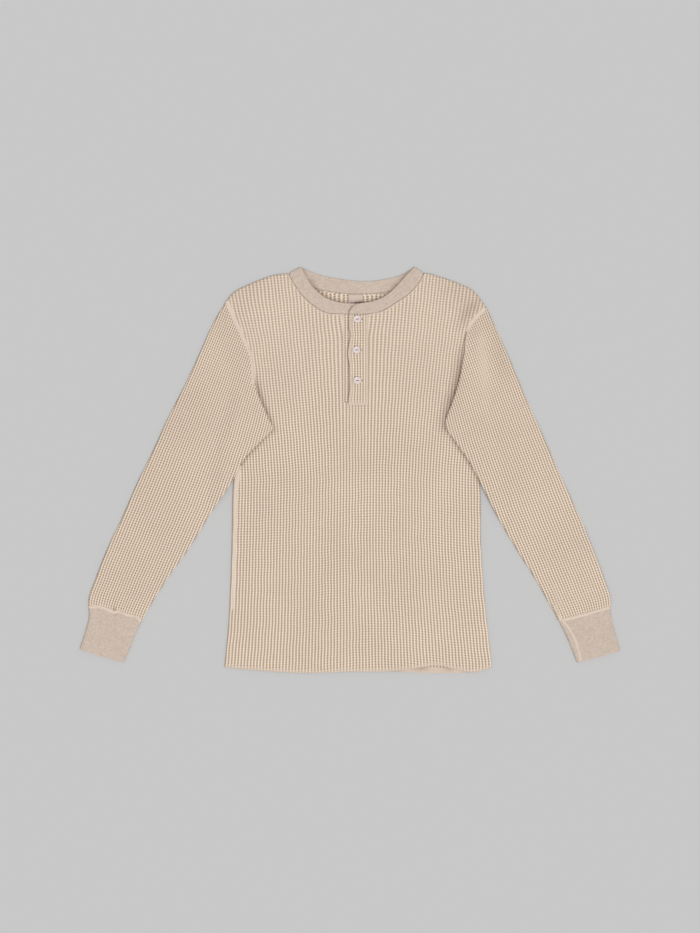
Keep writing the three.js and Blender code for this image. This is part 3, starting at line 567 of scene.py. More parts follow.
def make_object(name, points, groups, material, plain=None, shaded=True):
    """points: millimetres on the pattern. groups: faces, and each point's place in the knit."""
    mesh = bpy.data.meshes.new(name)
    faces = [list(face) for group, _ in groups for face in group]
    mesh.from_pydata(((np.asarray(points) + MOVED) * MM).tolist(), [], faces)
    places = [np.asarray(place)[np.fromiter((v for f in group for v in f), int)] for group, place in groups]
    mesh.uv_layers.new(name=KNIT_MAP).data.foreach_set("uv", np.vstack(places).astype(np.float32).ravel())
    # The attribute deep holds the painted shade of folds and overhanging edges; seam bands get none
    shares = {"plain": plain, "deep": painted_shade(np.asarray(points, float)) if shaded else None}
    for share, values in shares.items():
        if values is not None:
            attribute = mesh.attributes.new(share, "FLOAT", "POINT")
            attribute.data.foreach_set("value", np.asarray(values, np.float32))
    shape = bmesh.new()
    shape.from_mesh(mesh)
    bmesh.ops.remove_doubles(shape, verts=shape.verts, dist=WELD)
    bmesh.ops.dissolve_degenerate(shape, edges=shape.edges, dist=WELD)
    bmesh.ops.holes_fill(shape, edges=[side for side in shape.edges if side.is_boundary], sides=0)
    bmesh.ops.delete(shape, geom=[side for side in shape.edges if side.is_wire], context="EDGES")
    torn = [point for point in shape.verts if not all(side.is_manifold for side in point.link_edges)]
    bmesh.ops.remove_doubles(shape, verts=torn, dist=SLIVER)
    open_edges = sum(not side.is_manifold for side in shape.edges)
    if shape.calc_volume(signed=True) < 0:
        bmesh.ops.reverse_faces(shape, faces=shape.faces)
    shape.to_mesh(mesh)
    shape.free()
    mesh.shade_smooth()
    mesh.set_sharp_from_angle(angle=SMOOTH_ANGLE)
    mesh.materials.append(material)
    made = placed_object(name, mesh)
    triangles = sum(len(face.vertices) - 2 for face in mesh.polygons)
    print(f"{name}: {triangles} triangles, {open_edges} open edges")
    return made


def ring_faces(count, sides):
    """The point numbers of some rings, row by row, and the faces between each two of them."""
    number = np.arange(count * sides).reshape(count, sides)
    around = np.roll(number, -1, axis=1)
    corners = (number[:-1], around[:-1], around[1:], number[1:])
    return number, np.stack(corners, -1).reshape(-1, 4).tolist()


def panel(
    name, grid, fine_z, far_z, inner, inner_z, material, plain, faces_up=True, inner_knit=None, far_plain=None
):
    """A wall whose fine side is a knit grid, and whose far side is filled with large triangles."""
    count, rim = len(grid.xy), grid.rim
    far_xy, far_faces = filled(grid.xy[rim], inner)
    spare = len(far_xy) - len(far_z) - len(inner_z)
    far_height = np.concatenate([far_z, inner_z, np.full(spare, far_z.mean())])
    points = np.vstack([np.column_stack([grid.xy, fine_z]), np.column_stack([far_xy, far_height])])
    after = np.roll(np.arange(len(rim)), -1)
    sides = [[rim[k], count + k, count + n, rim[n]] for k, n in enumerate(after)]
    far = [[count + v for v in face[::-1]] for face in far_faces]
    place = np.vstack([np.column_stack([grid.rib, grid.course]), body_knit_place(far_xy)])
    if inner_knit is not None:
        first = count + len(rim)
        place[first : first + len(inner_knit)] = inner_knit
    turn = 1 if faces_up else -1
    groups = [([face[::turn] for face in part], place) for part in (grid.faces.tolist(), sides, far)]
    far_plain = far_plain(far_xy) if far_plain else np.zeros(len(far_xy))
    return make_object(name, points, groups, material, np.concatenate([plain, far_plain]))


def body_knit_place(xy):
    """Rib and course at a point of the body, for a side that has no grid of its own."""
    left, right = rib_x(0.0, xy[:, 1]), rib_x(1.0, xy[:, 1])
    rib = (xy[:, 0] - left) / (right - left) * BODY_RIBS
    return np.column_stack([rib, (TOP_LINE + arch(*xy.T) - xy[:, 1]) / BODY_COURSE])

# %% [markdown]
# ## Short words for shader nodes
# A material is a small tree of nodes. These helpers add a node, feed a socket with a number or
# with another node's output, and make one line of arithmetic, so that the trees below stay short
# enough to read.

# %% Helpers for node trees
def add(tree, kind, **settings):
    made = tree.nodes.new(kind)
    for setting, value in settings.items():
        setattr(made, setting, value)
    return made


def feed(tree, socket, value):
    if isinstance(value, bpy.types.NodeSocket):
        tree.links.new(value, socket)
    else:
        socket.default_value = value


def calc(tree, operation, *values):
    made = add(tree, "ShaderNodeMath", operation=operation)
    for socket, value in zip(made.inputs, values):
        feed(tree, socket, value)
    return made.outputs[0]


def blend(tree, factor, first, second):
    """One colour over another, as far as the factor says."""
    made = add(tree, "ShaderNodeMix", data_type="RGBA")
    for socket, value in zip((made.inputs[0], made.inputs[6], made.inputs[7]), (factor, first, second)):
        feed(tree, socket, value)
    return made.outputs[2]


def noise(tree, place, scale, detail, distortion=0.0):
    made = add(tree, "ShaderNodeTexNoise", noise_dimensions="3D")
    settings = {"Vector": place, "Scale": scale, "Detail": detail, "Distortion": distortion}
    for label, value in settings.items():
        feed(tree, made.inputs[label], value)
    return made.outputs[0]


def wave(tree, value):
    """0 where the value is whole and 1 halfway between."""
    turned = calc(tree, "COSINE", calc(tree, "MULTIPLY", value, 2 * math.pi))
    return calc(tree, "MULTIPLY_ADD", turned, -0.5, 0.5)


def new_group(name, inputs, outputs, kind="ShaderNodeTree"):
    tree = bpy.data.node_groups.new(name, kind)
    for label, kind, value in inputs:
        socket = tree.interface.new_socket(label, in_out="INPUT", socket_type=kind)
        if value is not None:
            socket.default_value = value
    for label, kind in outputs:
        tree.interface.new_socket(label, in_out="OUTPUT", socket_type=kind)
    return tree, add(tree, "NodeGroupInput").outputs, add(tree, "NodeGroupOutput").inputs


def use_group(tree, group, **values):
    made = add(tree, "ShaderNodeGroup", node_tree=group)
    for label, value in values.items():
        feed(tree, made.inputs[label.replace("_", " ")], value)
    return made.outputs


FLOAT, VECTOR = "NodeSocketFloat", "NodeSocketVector"

# %% [markdown]
# ## Effects that the materials share
# Three effects come back on several finishes. The waffle's masks say how deep in a cell a point
# lies. The loops are the small stitches of the yarn, finer than any point of the mesh, so they are
# only a bump. The dye is never quite even, so a slow noise lightens and darkens the cloth. Each is
# a node group with named values, and gives out only masks and heights.

# %% Waffle masks
waffle_group, given, wanted = new_group(
    "waffle masks", [("Knit", VECTOR, None)], [("Valley", FLOAT), ("Pit", FLOAT)]
)
place = add(waffle_group, "ShaderNodeSeparateXYZ")
feed(waffle_group, place.inputs[0], given["Knit"])
on_rib = wave(waffle_group, place.outputs[0])
in_pit = wave(waffle_group, place.outputs[1])
valley = calc(waffle_group, "SUBTRACT", 1.0, on_rib)
feed(waffle_group, wanted["Valley"], valley)
feed(waffle_group, wanted["Pit"], calc(waffle_group, "MULTIPLY", valley, in_pit))

# %% Yarn loops: chevrons, column by column
loops_group, given, wanted = new_group(
    "yarn loops",
    [("Knit", VECTOR, None), ("Columns", FLOAT, 3.0), ("Rows", FLOAT, 3.0), ("Unevenness", FLOAT, 0.2)],
    [("Height", FLOAT)],
)
rough = noise(loops_group, given["Knit"], 2.3, 3.0)
place = add(loops_group, "ShaderNodeSeparateXYZ")
feed(loops_group, place.inputs[0], given["Knit"])
column = calc(loops_group, "MULTIPLY", place.outputs[0], given["Columns"])
leg = calc(loops_group, "PINGPONG", column, 0.5)
row = calc(loops_group, "MULTIPLY_ADD", place.outputs[1], given["Rows"], leg)
strand = wave(loops_group, row)
groove = wave(loops_group, column)
loop = calc(loops_group, "MULTIPLY", strand, calc(loops_group, "MULTIPLY_ADD", groove, 0.6, 0.4))
roughness = calc(loops_group, "MULTIPLY", rough, given["Unevenness"])
feed(loops_group, wanted["Height"], calc(loops_group, "ADD", loop, roughness))

# %% Uneven dye and handling
dye_group, given, wanted = new_group(
    "uneven dye", [("Place", VECTOR, None), ("Size", FLOAT, 9.0)], [("Shade", FLOAT), ("Speck", FLOAT)]
)
SPECK_SCALE = 330.0
feed(dye_group, wanted["Shade"], noise(dye_group, given["Place"], given["Size"], 4.0))
feed(dye_group, wanted["Speck"], noise(dye_group, given["Place"], SPECK_SCALE, 2.0))
print("shared effects:", [group.name for group in bpy.data.node_groups])

# %% [markdown]
# ## Finishes
# Cotton knit is matt, with a faint sheen of loose fibre. The waffle gets its colour from its masks:
# pale on the ribs, darker in the valleys and darkest in the pits, where little light comes. Where a
# seam has pressed the knit flat, the attribute "plain" takes the pattern away. The jersey of the
# collar and the cuffs is greyer and has fine columns.

# %% Colours, given as on a screen
def screen(*shares):
    """A colour as the numbers from 0 to 255 that a screen shows, made linear."""
    shares = [share / 255 for share in shares]
    return (*[c / 12.92 if c <= 0.04045 else ((c + 0.055) / 1.055) ** 2.4 for c in shares], 1.0)


RIB_COLOUR = screen(246, 228, 208)
VALLEY_COLOUR = screen(208, 187, 166)
PIT_COLOUR = screen(147, 125, 105)
PLAIN_COLOUR = screen(219, 200, 182)
JERSEY_COLOUR = screen(207, 190, 175)
JERSEY_SHADE = screen(188, 170, 155)
THREAD_COLOUR = screen(232, 216, 200)
# A darker thread, partly painted shade: it also paints the shade in each button's eye and at each
# buttonhole's end
THREAD_WITH_PAINTED_SHADE_COLOUR = screen(140, 118, 108)
SEAM_COLOUR = screen(231, 214, 197)
SEAM_SHADE = screen(217, 199, 181)
PEARL_COLOUR = screen(230, 217, 214)
PEARL_TINT = screen(206, 188, 191)
# The brown towards which the painted shade of folds and overhanging edges darkens the cloth
PAINTED_SHADE_COLOUR = screen(98, 68, 54)
TAPE_COLOUR = screen(210, 192, 180)


def new_material(name, roughness, sheen=0.0):
    material = bpy.data.materials.new(name)
    material.use_nodes = True
    tree = material.node_tree
    shader = tree.nodes["Principled BSDF"]
    shader.inputs["Roughness"].default_value = roughness
    shader.inputs["Sheen Weight"].default_value = sheen
    shader.inputs["Sheen Roughness"].default_value = 0.6
    shader.inputs["Specular IOR Level"].default_value = 0.25
    return material, tree, shader


def knit_coordinates(tree):
    return add(tree, "ShaderNodeUVMap", uv_map=KNIT_MAP).outputs[0]


def object_coordinates(tree):
    return add(tree, "ShaderNodeTexCoord").outputs["Object"]


def uneven(tree, colour, strength, specks=0.1):
    """The colour with the slow shade and the fine specks of the dye, and the painted shade of deep folds."""
    dye = use_group(tree, dye_group, Place=object_coordinates(tree))
    shade = calc(tree, "MULTIPLY_ADD", dye["Shade"], strength, 1 - strength / 2)
    shade = calc(tree, "MULTIPLY", shade, calc(tree, "MULTIPLY_ADD", dye["Speck"], specks, 1 - specks / 2))
    # Painted shade: the attribute deep blends the colour towards the brown of folds and overhanging edges
    deep = add(tree, "ShaderNodeAttribute", attribute_name="deep").outputs["Fac"]
    made = add(tree, "ShaderNodeVectorMath", operation="SCALE")
    feed(tree, made.inputs[0], colour if isinstance(colour, bpy.types.NodeSocket) else colour[:3])
    feed(tree, made.inputs["Scale"], shade)
    return blend(tree, deep, made.outputs[0], PAINTED_SHADE_COLOUR)


def bump(tree, shader, height, distance, strength=1.0):
    made = add(tree, "ShaderNodeBump")
    made.inputs["Distance"].default_value = distance
    made.inputs["Strength"].default_value = strength
    feed(tree, made.inputs["Height"], height)
    feed(tree, shader.inputs["Normal"], made.outputs[0])


# %% Waffle knit
waffle_knit, tree, shader = new_material("waffle_knit", roughness=0.92, sheen=0.15)
knit = knit_coordinates(tree)
masks = use_group(tree, waffle_group, Knit=knit)
plain_here = add(tree, "ShaderNodeAttribute", attribute_name="plain").outputs["Fac"]
patterned = calc(tree, "SUBTRACT", 1.0, plain_here)
colour = blend(tree, masks["Valley"], RIB_COLOUR, VALLEY_COLOUR)
colour = blend(tree, masks["Pit"], colour, PIT_COLOUR)
colour = blend(tree, patterned, PLAIN_COLOUR, colour)
feed(tree, shader.inputs["Base Color"], uneven(tree, colour, 0.14, specks=0.2))
loops = use_group(tree, loops_group, Knit=knit, Columns=3.0, Rows=3.0, Unevenness=0.5)
bump(tree, shader, loops["Height"], 0.00025, 0.8)

# %% Jersey, seam thread and label tape: one rule, with the knit's place in millimetres
def yarn_finish(name, roughness, sheen, colours, loops, dye, relief):
    """colours: groove and loop. loops: columns, rows, unevenness. dye: strength and specks."""
    made, tree, shader = new_material(name, roughness, sheen)
    settings = dict(zip(("Columns", "Rows", "Unevenness"), loops))
    height = use_group(tree, loops_group, Knit=knit_coordinates(tree), **settings)["Height"]
    feed(tree, shader.inputs["Base Color"], uneven(tree, blend(tree, height, *colours), *dye))
    bump(tree, shader, height, *relief)
    return made


jersey = yarn_finish(
    "jersey", 0.9, 0.2, (JERSEY_SHADE, JERSEY_COLOUR), (0.8, 1.1, 1.2), (0.14, 0.5), (0.00012, 0.6)
)
seam_thread = yarn_finish(
    "seam_thread", 0.8, 0.15, (SEAM_SHADE, SEAM_COLOUR), (0.55, 1.3, 0.8), (0.1, 0.1), (0.0002, 0.7)
)
tape = yarn_finish("tape", 0.6, 0.0, (TAPE_COLOUR, TAPE_COLOUR), (2.6, 2.2, 0.3), (0.06, 0.1), (0.00008, 0.6))

# %% Sewing thread and shell button
def thread_finish(name, colour, sheen=0.0):
    made, tree, shader = new_material(name, 0.7, sheen)
    feed(tree, shader.inputs["Base Color"], uneven(tree, colour, 0.1))
    return made


thread = thread_finish("thread", THREAD_COLOUR, 0.1)
# The button thread and the buttonhole tacks are darker than the other thread, as painted shade for the eye
# and the hole's end
thread_with_painted_shade = thread_finish("thread_with_painted_shade", THREAD_WITH_PAINTED_SHADE_COLOUR)

pearl, tree, shader = new_material("pearl", roughness=0.28)
shader.inputs["Specular IOR Level"].default_value = 0.55
shader.inputs["Coat Weight"].default_value = 0.4
clouds = calc(tree, "POWER", noise(tree, object_coordinates(tree), 190.0, 3.0, 1.2), 2.0)
feed(tree, shader.inputs["Base Color"], blend(tree, clouds, PEARL_COLOUR, PEARL_TINT))
print("finishes:", sorted(material.name for material in bpy.data.materials))

# %% [markdown]
# ## The front
# The front is one panel of waffle with a slit for the placket and a curved neck. It lies on the
# back, but cloth never lies quite flat: it has soft swellings, a few long creases, and sharper
# pleats where it runs under a sleeve. The swellings are those of the solid. The creases are put
# where the photographed shirt shows them.

# %% Swellings and creases of the front
# Columns: middle x and y, length, width, turn in degrees, rise
SWELLS = (
    (-96, -30, 150, 46, 84, 1.7),
    (118, 20, 130, 40, 97, 1.5),
    (-20, -190, 120, 52, 20, 1.3),
    (128, -230, 90, 34, 66, 1.9),
    (-110, 180, 84, 30, 68, 1.1),
    (118, 190, 84, 30, 110, 1.2),
)
# Columns: the path, the width and the rise, which is negative for a trough
CREASES = (
    (((-122, -14), (-78, -52)), 15, 0.8),
    (((138, -22), (78, -136)), 15, 0.9),
    (((121, -142), (62, -226)), 13, 0.8),
    (((-64, -278), (-33, -219)), 12, 0.6),
    (((-154, -124), (-127, -224)), 16, -0.6),
    (((-50, 216), (-88, 132)), 14, 0.5),
    (((122, 192), (152, 116)), 12, 0.5),
    (((30, 88), (92, 30)), 16, 0.6),
    (((187, 200), (183.5, 177), (177.5, 145), (165.5, 111), (156, 80)), 2.4, 2.2),
    (((180, 196), (176.5, 174), (170.5, 143), (159, 110), (151, 86)), 2.2, 1.6),
    (((-158, 158), (-147, 122), (-135, 94), (-127, 74)), 2.4, 1.9),
    (((-151, 154), (-141, 122), (-129, 95), (-122, 80)), 2.2, 1.2),
)
SWELL_EDGE_FADE = 46
CREASE_EDGE_FADE = 8
PLACKET_FADE = SimpleNamespace(middle=8, near=26, far=62, foot=80)
SLEEVE_FADE = SimpleNamespace(foot=30, low=60, high=150, top=190, near=90, far=130)


def swell(points, depth):
    x, y = points.T
    away = np.abs(x - PLACKET_FADE.middle)
    beside = np.maximum(ease(PLACKET_FADE.near, PLACKET_FADE.far, away), 1 - ease(0, PLACKET_FADE.foot, y))
    sleeve = SLEEVE_FADE
    off_sleeve = 1 - ease(sleeve.foot, sleeve.low, y) * (1 - ease(sleeve.high, sleeve.top, y))
    clear = np.maximum(off_sleeve, 1 - ease(sleeve.near, sleeve.far, away))
    total = np.zeros(len(points))
    for middle_x, middle_y, long, wide, turn, rise in SWELLS:
        cosine, sine = math.cos(math.radians(turn)), math.sin(math.radians(turn))
        lengthways = (x - middle_x) * cosine + (y - middle_y) * sine
        crossways = (y - middle_y) * cosine - (x - middle_x) * sine
        total += rise * np.exp(-((lengthways / long) ** 2) - (crossways / wide) ** 2)
    return total * ease(0, SWELL_EDGE_FADE, depth) * beside * clear


def crease_shares(points, table):
    """For each crease, how much of its full height the points have."""
    for path, wide, *_ in table:
        line = smooth_line(path)
        found = nearest(line, points)
        yield bell(found[:, 0], wide) * np.sin(np.pi * (0.1 + 0.8 * found[:, 3] / run_of(line)[-1]))


def creases(points, depth, table):
    total = np.zeros(len(points))
    for (_, _, rise, *_), share in zip(table, crease_shares(points, table)):
        total += rise * share
    return total * ease(0, CREASE_EDGE_FADE, depth)

# %% [markdown]
# The edges of the panel are shaped last. At the sides and the shoulders the cloth rounds down to
# its seam. The hem is turned under and stitched flat, so the waffle fades there, and so it does
# under every seam that presses the knit. Over the chest the knit is stretched, and is a little
# flatter than at the belly.

# %% Build the front
EDGE_ROUND = 3.0
EDGE_WALL = 0.15
HEM_ROUND = 2.0
HEM_DOWN = 0.8
HEM_FADE = (3.5, 6.5)
HEM_PLAIN = 0.6
NECK_FADE = (1.5, 3.5)
CHEST_STRETCH = 0.25
CHEST_FADE = (20, 240)
PLAIN_RISE = 0.25
FINE_CELLS = (4, 2)
INSIDE_SPACING = 13.0
# From which rib and course to which the grid runs before it is trimmed
BODY_SPAN = ((-5, BODY_RIBS + 5), (0, 170))


def rounding(gap, radius):
    """0 at an edge and 1 from a radius inwards, in a quarter circle."""
    return np.sqrt(1 - (1 - np.clip(gap / radius, 0, 1)) ** 2)


def gap_to(points, *tables):
    """The distance to the nearest of several pattern lines."""
    lines = [spaced(smooth_line(table), OUTLINE_STEP) for table in tables]
    return np.min([nearest(line, points)[:, 0] for line in lines], axis=0)


front_grid = knit_grid(front_outline, body_place, *BODY_SPAN, FINE_CELLS)
depth = body_depth(front_grid.xy)
form = swell(front_grid.xy, depth) + creases(front_grid.xy, depth, CREASES)
to_hem = gap_to(front_grid.xy, HEM_FRONT)
to_side = gap_to(front_grid.xy, SIDE_LEFT, SIDE_RIGHT, SHOULDER_LEFT, SHOULDER_RIGHT)
to_neck = gap_to(front_grid.xy, COLLAR_FRONT_LEFT[1:, 2:], COLLAR_FRONT_RIGHT[:, 2:])
hem_plain = HEM_PLAIN * (1 - ease(*HEM_FADE, to_hem))
stretched = CHEST_STRETCH * ease(*CHEST_FADE, front_grid.xy[:, 1])
front_plain = np.maximum.reduce([hem_plain, 1 - ease(*NECK_FADE, to_neck), stretched])
relief = waffle(front_grid.rib, front_grid.course)
top = FRONT_CLOTH + form + relief * (1 - front_plain) + PLAIN_RISE * front_plain
down = 1 - rounding(to_side, EDGE_ROUND)
hem_down = 1 - rounding(to_hem, HEM_ROUND)
top -= np.maximum(down, HEM_DOWN * hem_down) * (top - FRONT_LEVEL - EDGE_WALL)
inner = sparse_points(front_outline, INSIDE_SPACING, INSIDE_SPACING / 3)
inner_depth = body_depth(inner)
inner_z = FRONT_LEVEL + swell(inner, inner_depth) + creases(inner, inner_depth, CREASES).clip(0)
far_z = np.full(len(front_grid.rim), FRONT_LEVEL)
front_piece = panel("shirt_front", front_grid, top, far_z, inner, inner_z, waffle_knit, front_plain)

# %% [markdown]
# ## The back
# The back lies on the floor with its right side down. It shows its inside below the collar, a
# little of its hem, and the whole of its waffle when the shirt is picked up. The ribs only touch
# the floor, and the valleys are hollows above it.

# %% Build the back
BACK_CELLS = (2, 2)
NECK_WINDOW = SimpleNamespace(ribs=(17, 64), courses=(0, 28))
WINDOW_MARGIN = 0.8
HEM_INSIDE = (8.6, 9.8)
INSIDE_RELIEF = 0.7

back_grid = knit_grid(back_outline, body_place, *BODY_SPAN, BACK_CELLS)
to_edge = gap_to(back_grid.xy, SIDE_LEFT, SIDE_RIGHT, SHOULDER_LEFT, SHOULDER_RIGHT, HEM_BACK)
back_plain = 1 - ease(*HEM_FADE, gap_to(back_grid.xy, HEM_BACK))
hollow = (RIB_CROWN - waffle(back_grid.rib, back_grid.course)) * INSIDE_RELIEF * (1 - back_plain)
under = hollow + (1 - rounding(to_edge, HEM_ROUND)) * (CLOTH / 2 - hollow)
rib, course = (values.ravel() for values in knit_stops(NECK_WINDOW.ribs, NECK_WINDOW.courses, FINE_CELLS))
window = body_place(rib, course)
shown = depth_in(back_outline, window) > WINDOW_MARGIN
wide_points = sparse_points(back_outline, INSIDE_SPACING, INSIDE_SPACING / 3)
low, high = window[shown].min(0), window[shown].max(0)
wide_points = wide_points[((wide_points < low) | (wide_points > high)).any(1)]
wide_points = wide_points[gap_to(wide_points, HEM_BACK) > HEM_INSIDE[1] + 3]
turned_up = np.vstack([spaced(shifted(smooth_line(HEM_BACK), far), 6.0) for far in HEM_INSIDE])
turned_up = turned_up[depth_in(back_outline, turned_up) > HEM_INSIDE[0] - 0.3]
wide_points = np.vstack([wide_points, turned_up])
inner = np.vstack([window[shown], wide_points])
window_z = CLOTH - RIB_CROWN + waffle(rib, course)[shown] * INSIDE_RELIEF
inside_z = np.concatenate([window_z, np.full(len(wide_points), CLOTH)])
far_z = np.full(len(back_grid.rim), CLOTH)
inner_knit = np.vstack([np.column_stack([rib, course])[shown], body_knit_place(wide_points)])
back_piece = panel(
    "shirt_back", back_grid, under, far_z, inner, inside_z, waffle_knit, back_plain, False, inner_knit,
    lambda xy: 1 - ease(*HEM_INSIDE, gap_to(xy, HEM_BACK)),
)

# %% [markdown]
# ## Sleeves and cuffs
# A sleeve is a tube, and laid down it is two layers of cloth with a rounded fold along each side.
# Its upper and lower layer are cut from the same knit grid and share the points of the folds. A
# plainer tube inside makes it a real wall, open at the armhole and at the cuff. Where the sleeve
# lies on the shirt's front it climbs, and beside that fold the cloth stands up in a soft roll.
#
# The tables give, for each section from the armhole to the cuff, the outer fold's x and y, the
# inner fold's x and y, the room between the layers and the height of the roll.

# %% Sleeve and cuff pattern
SLEEVE_LEFT = np.array(
    [
        (-209, 289, -163, 146, 0.3, 0), (-233, 248, -153, 121, 0.8, 0.4), (-255, 199, -141, 93, 1.2, 1.0),
        (-282, 141, -132, 70, 1.5, 1.2), (-297, 112, -154, 46, 1.6, 0.8), (-313, 80, -180, 18, 1.6, 0.4),
        (-333, 36, -203, -24, 1.6, 0), (-359, -17, -237, -74, 1.5, 0), (-386, -78, -272, -131, 1.4, 0),
        (-413, -136, -310, -184, 1.2, 0), (-434, -189, -341, -233, 1.0, 0),
        (-443, -214, -348, -246.5, 0.9, 0), (-444.6, -234.6, -353.6, -258.4, 0.8, 0),
    ]
)
SLEEVE_RIGHT = np.array(
    [
        (231, 277, 194, 201, 0.3, 0), (245, 248, 190, 178, 0.6, 1.0), (260, 214, 184, 146, 1.0, 2.4),
        (277, 175, 172, 112, 1.4, 3.0), (294, 134, 161.5, 76, 1.6, 2.2), (308, 102, 180, 46, 1.6, 1.0),
        (325, 65, 204, 11, 1.6, 0.3), (345, 19, 226, -32, 1.6, 0), (369, -34, 253, -84, 1.5, 0),
        (393, -85, 282, -133.5, 1.4, 0), (415, -139, 314, -184, 1.2, 0), (433, -187, 339, -228, 1.0, 0),
        (442, -214, 348, -244, 0.9, 0), (443.2, -233.4, 353.6, -256, 0.8, 0),
    ]
)
CUFF_LEFT = np.array(
    [
        (-444, -235.1, -354.6, -258.6, 0.8, 0), (-443.7, -251.6, -361, -270.3, 0.8, 0),
        (-448, -268.6, -368, -287.3, 0.8, 0), (-453.6, -287.3, -376, -307.7, 0.8, 0),
        (-459.5, -304.6, -384.2, -327, 0.8, 0),
    ]
)
CUFF_RIGHT = np.array(
    [
        (442.7, -233.9, 354.6, -256.3, 0.8, 0), (443.7, -249.9, 362, -271.2, 0.8, 0),
        (447.6, -265.2, 369.8, -287.3, 0.8, 0), (453.1, -285.6, 377.4, -306, 0.8, 0),
        (459.5, -307, 385.9, -327.4, 0.8, 0),
    ]
)
# The seam between sleeve and cuff, from the outer fold inwards; the left one has a small tuck
CUFF_SEAM_LEFT = np.array(
    [
        (-444.3, -234.2), (-434, -233), (-426, -232.6), (-417.4, -235), (-408, -239.5), (-399.5, -243),
        (-396.5, -241), (-390, -241.8), (-381, -246.2), (-364.5, -250), (-354.2, -258),
    ]
)
CUFF_SEAM_RIGHT = np.array([(443, -233.4), (420, -240), (394, -247.5), (368.4, -254), (354.2, -256.4)])
FOLD_ROUND = 2.3
MOUTH_GAP = 0.5
MOUTH_DROP = 1.1
HOLLOW_FULLNESS = 0.6
ROLL = SimpleNamespace(place=0.87, width=0.11)
SLEEVE_RELIEF = 1.18
CLIMB = SimpleNamespace(starts=44, ends=16)
CLIMB_LEFT = SimpleNamespace(start=218, full=172)
CLIMB_RIGHT = SimpleNamespace(start=250, full=218)


# %% The knit of a sleeve, running down from the shoulder
SLEEVE_COURSE = 4.3
SLEEVE_PITCH = np.array([(0, 3.8), (110, 4.05), (220, 4.45), (355, 4.7), (470, 4.6), (575, 4.4)])
SLEEVE_SKEW = SimpleNamespace(amount=0.13, start=90, full=300)
BEND_FADES = SimpleNamespace(start=-6, over=18)


def knit_down(outer, lean):
    """Rules from rib and course to a place on a sleeve, and back. Its ribs lean out by an angle."""
    heading = np.array([math.sin(math.radians(lean)), -math.cos(math.radians(lean))])
    inward = np.array([-heading[1], heading[0]]) * (1 if lean < 0 else -1)
    start = outer[0]
    reach, side = (outer - start) @ heading, (outer - start) @ inward
    bend = side - np.minimum.accumulate(side)

    def pitch(far):
        return np.interp(far, *SLEEVE_PITCH.T)

    def skew(far):
        return SLEEVE_SKEW.amount * ease(SLEEVE_SKEW.start, SLEEVE_SKEW.full, far)

    def place(rib, course):
        far = course * SLEEVE_COURSE
        bent = np.interp(far, reach, bend) * np.clip(1 - (rib - BEND_FADES.start) / BEND_FADES.over, 0, 1)
        side = rib * pitch(far) + bent
        point = start + (far - skew(far) * side)[..., None] * heading + side[..., None] * inward
        return point + sway(point[..., 0], point[..., 1])[..., None] * inward

    def knit_at(xy):
        far, side = (xy - start) @ heading, (xy - start) @ inward
        return np.column_stack([side / pitch(far), (far + skew(far) * side) / SLEEVE_COURSE])

    return place, knit_at


# %% A laid tube
TUBE_STEPS = 12
# The waffle is plain up to the first distance from an end, and whole from the second
PLAIN_AT_ENDS = (2.0, 4.0)
UNDERSIDE_RELIEF = 0.6
# How many rows of the inner tube bend to follow the mouth, and the end
MOUTH_ROWS, END_ROWS = 5, 3


def corner_arcs(grid, corners):
    """The border loop cut at its four corners, each part from one corner to the next."""
    loop = grid.rim
    spots = [int(np.linalg.norm(grid.xy[loop] - corner, axis=1).argmin()) for corner in corners]
    forward = (spots[1] - spots[0]) % len(loop) < (spots[3] - spots[0]) % len(loop)
    if not forward:
        loop, spots = loop[::-1], [len(loop) - 1 - spot for spot in spots]
    ends = spots[1:] + spots[:1]
    return [loop[(a + np.arange((b - a) % len(loop) + 1)) % len(loop)] for a, b in zip(spots, ends)]


def zipped(first, first_at, second, second_at):
    """Triangles between two loops that run the same way; the one that is behind takes the next step."""
    faces, i, j = [], 0, 0

    def progress(places, k):
        return places[k % len(places)] + (2 if k >= len(places) else 0)

    while i < len(first) or j < len(second):
        behind = progress(first_at, i + 1) <= progress(second_at, j + 1)
        a, b = first[i % len(first)], second[j % len(second)]
        if j == len(second) or (i < len(first) and behind):
            i += 1
            faces.append([a, first[i % len(first)], b])
        else:
            j += 1
            faces.append([a, second[j % len(second)], b])
    return faces


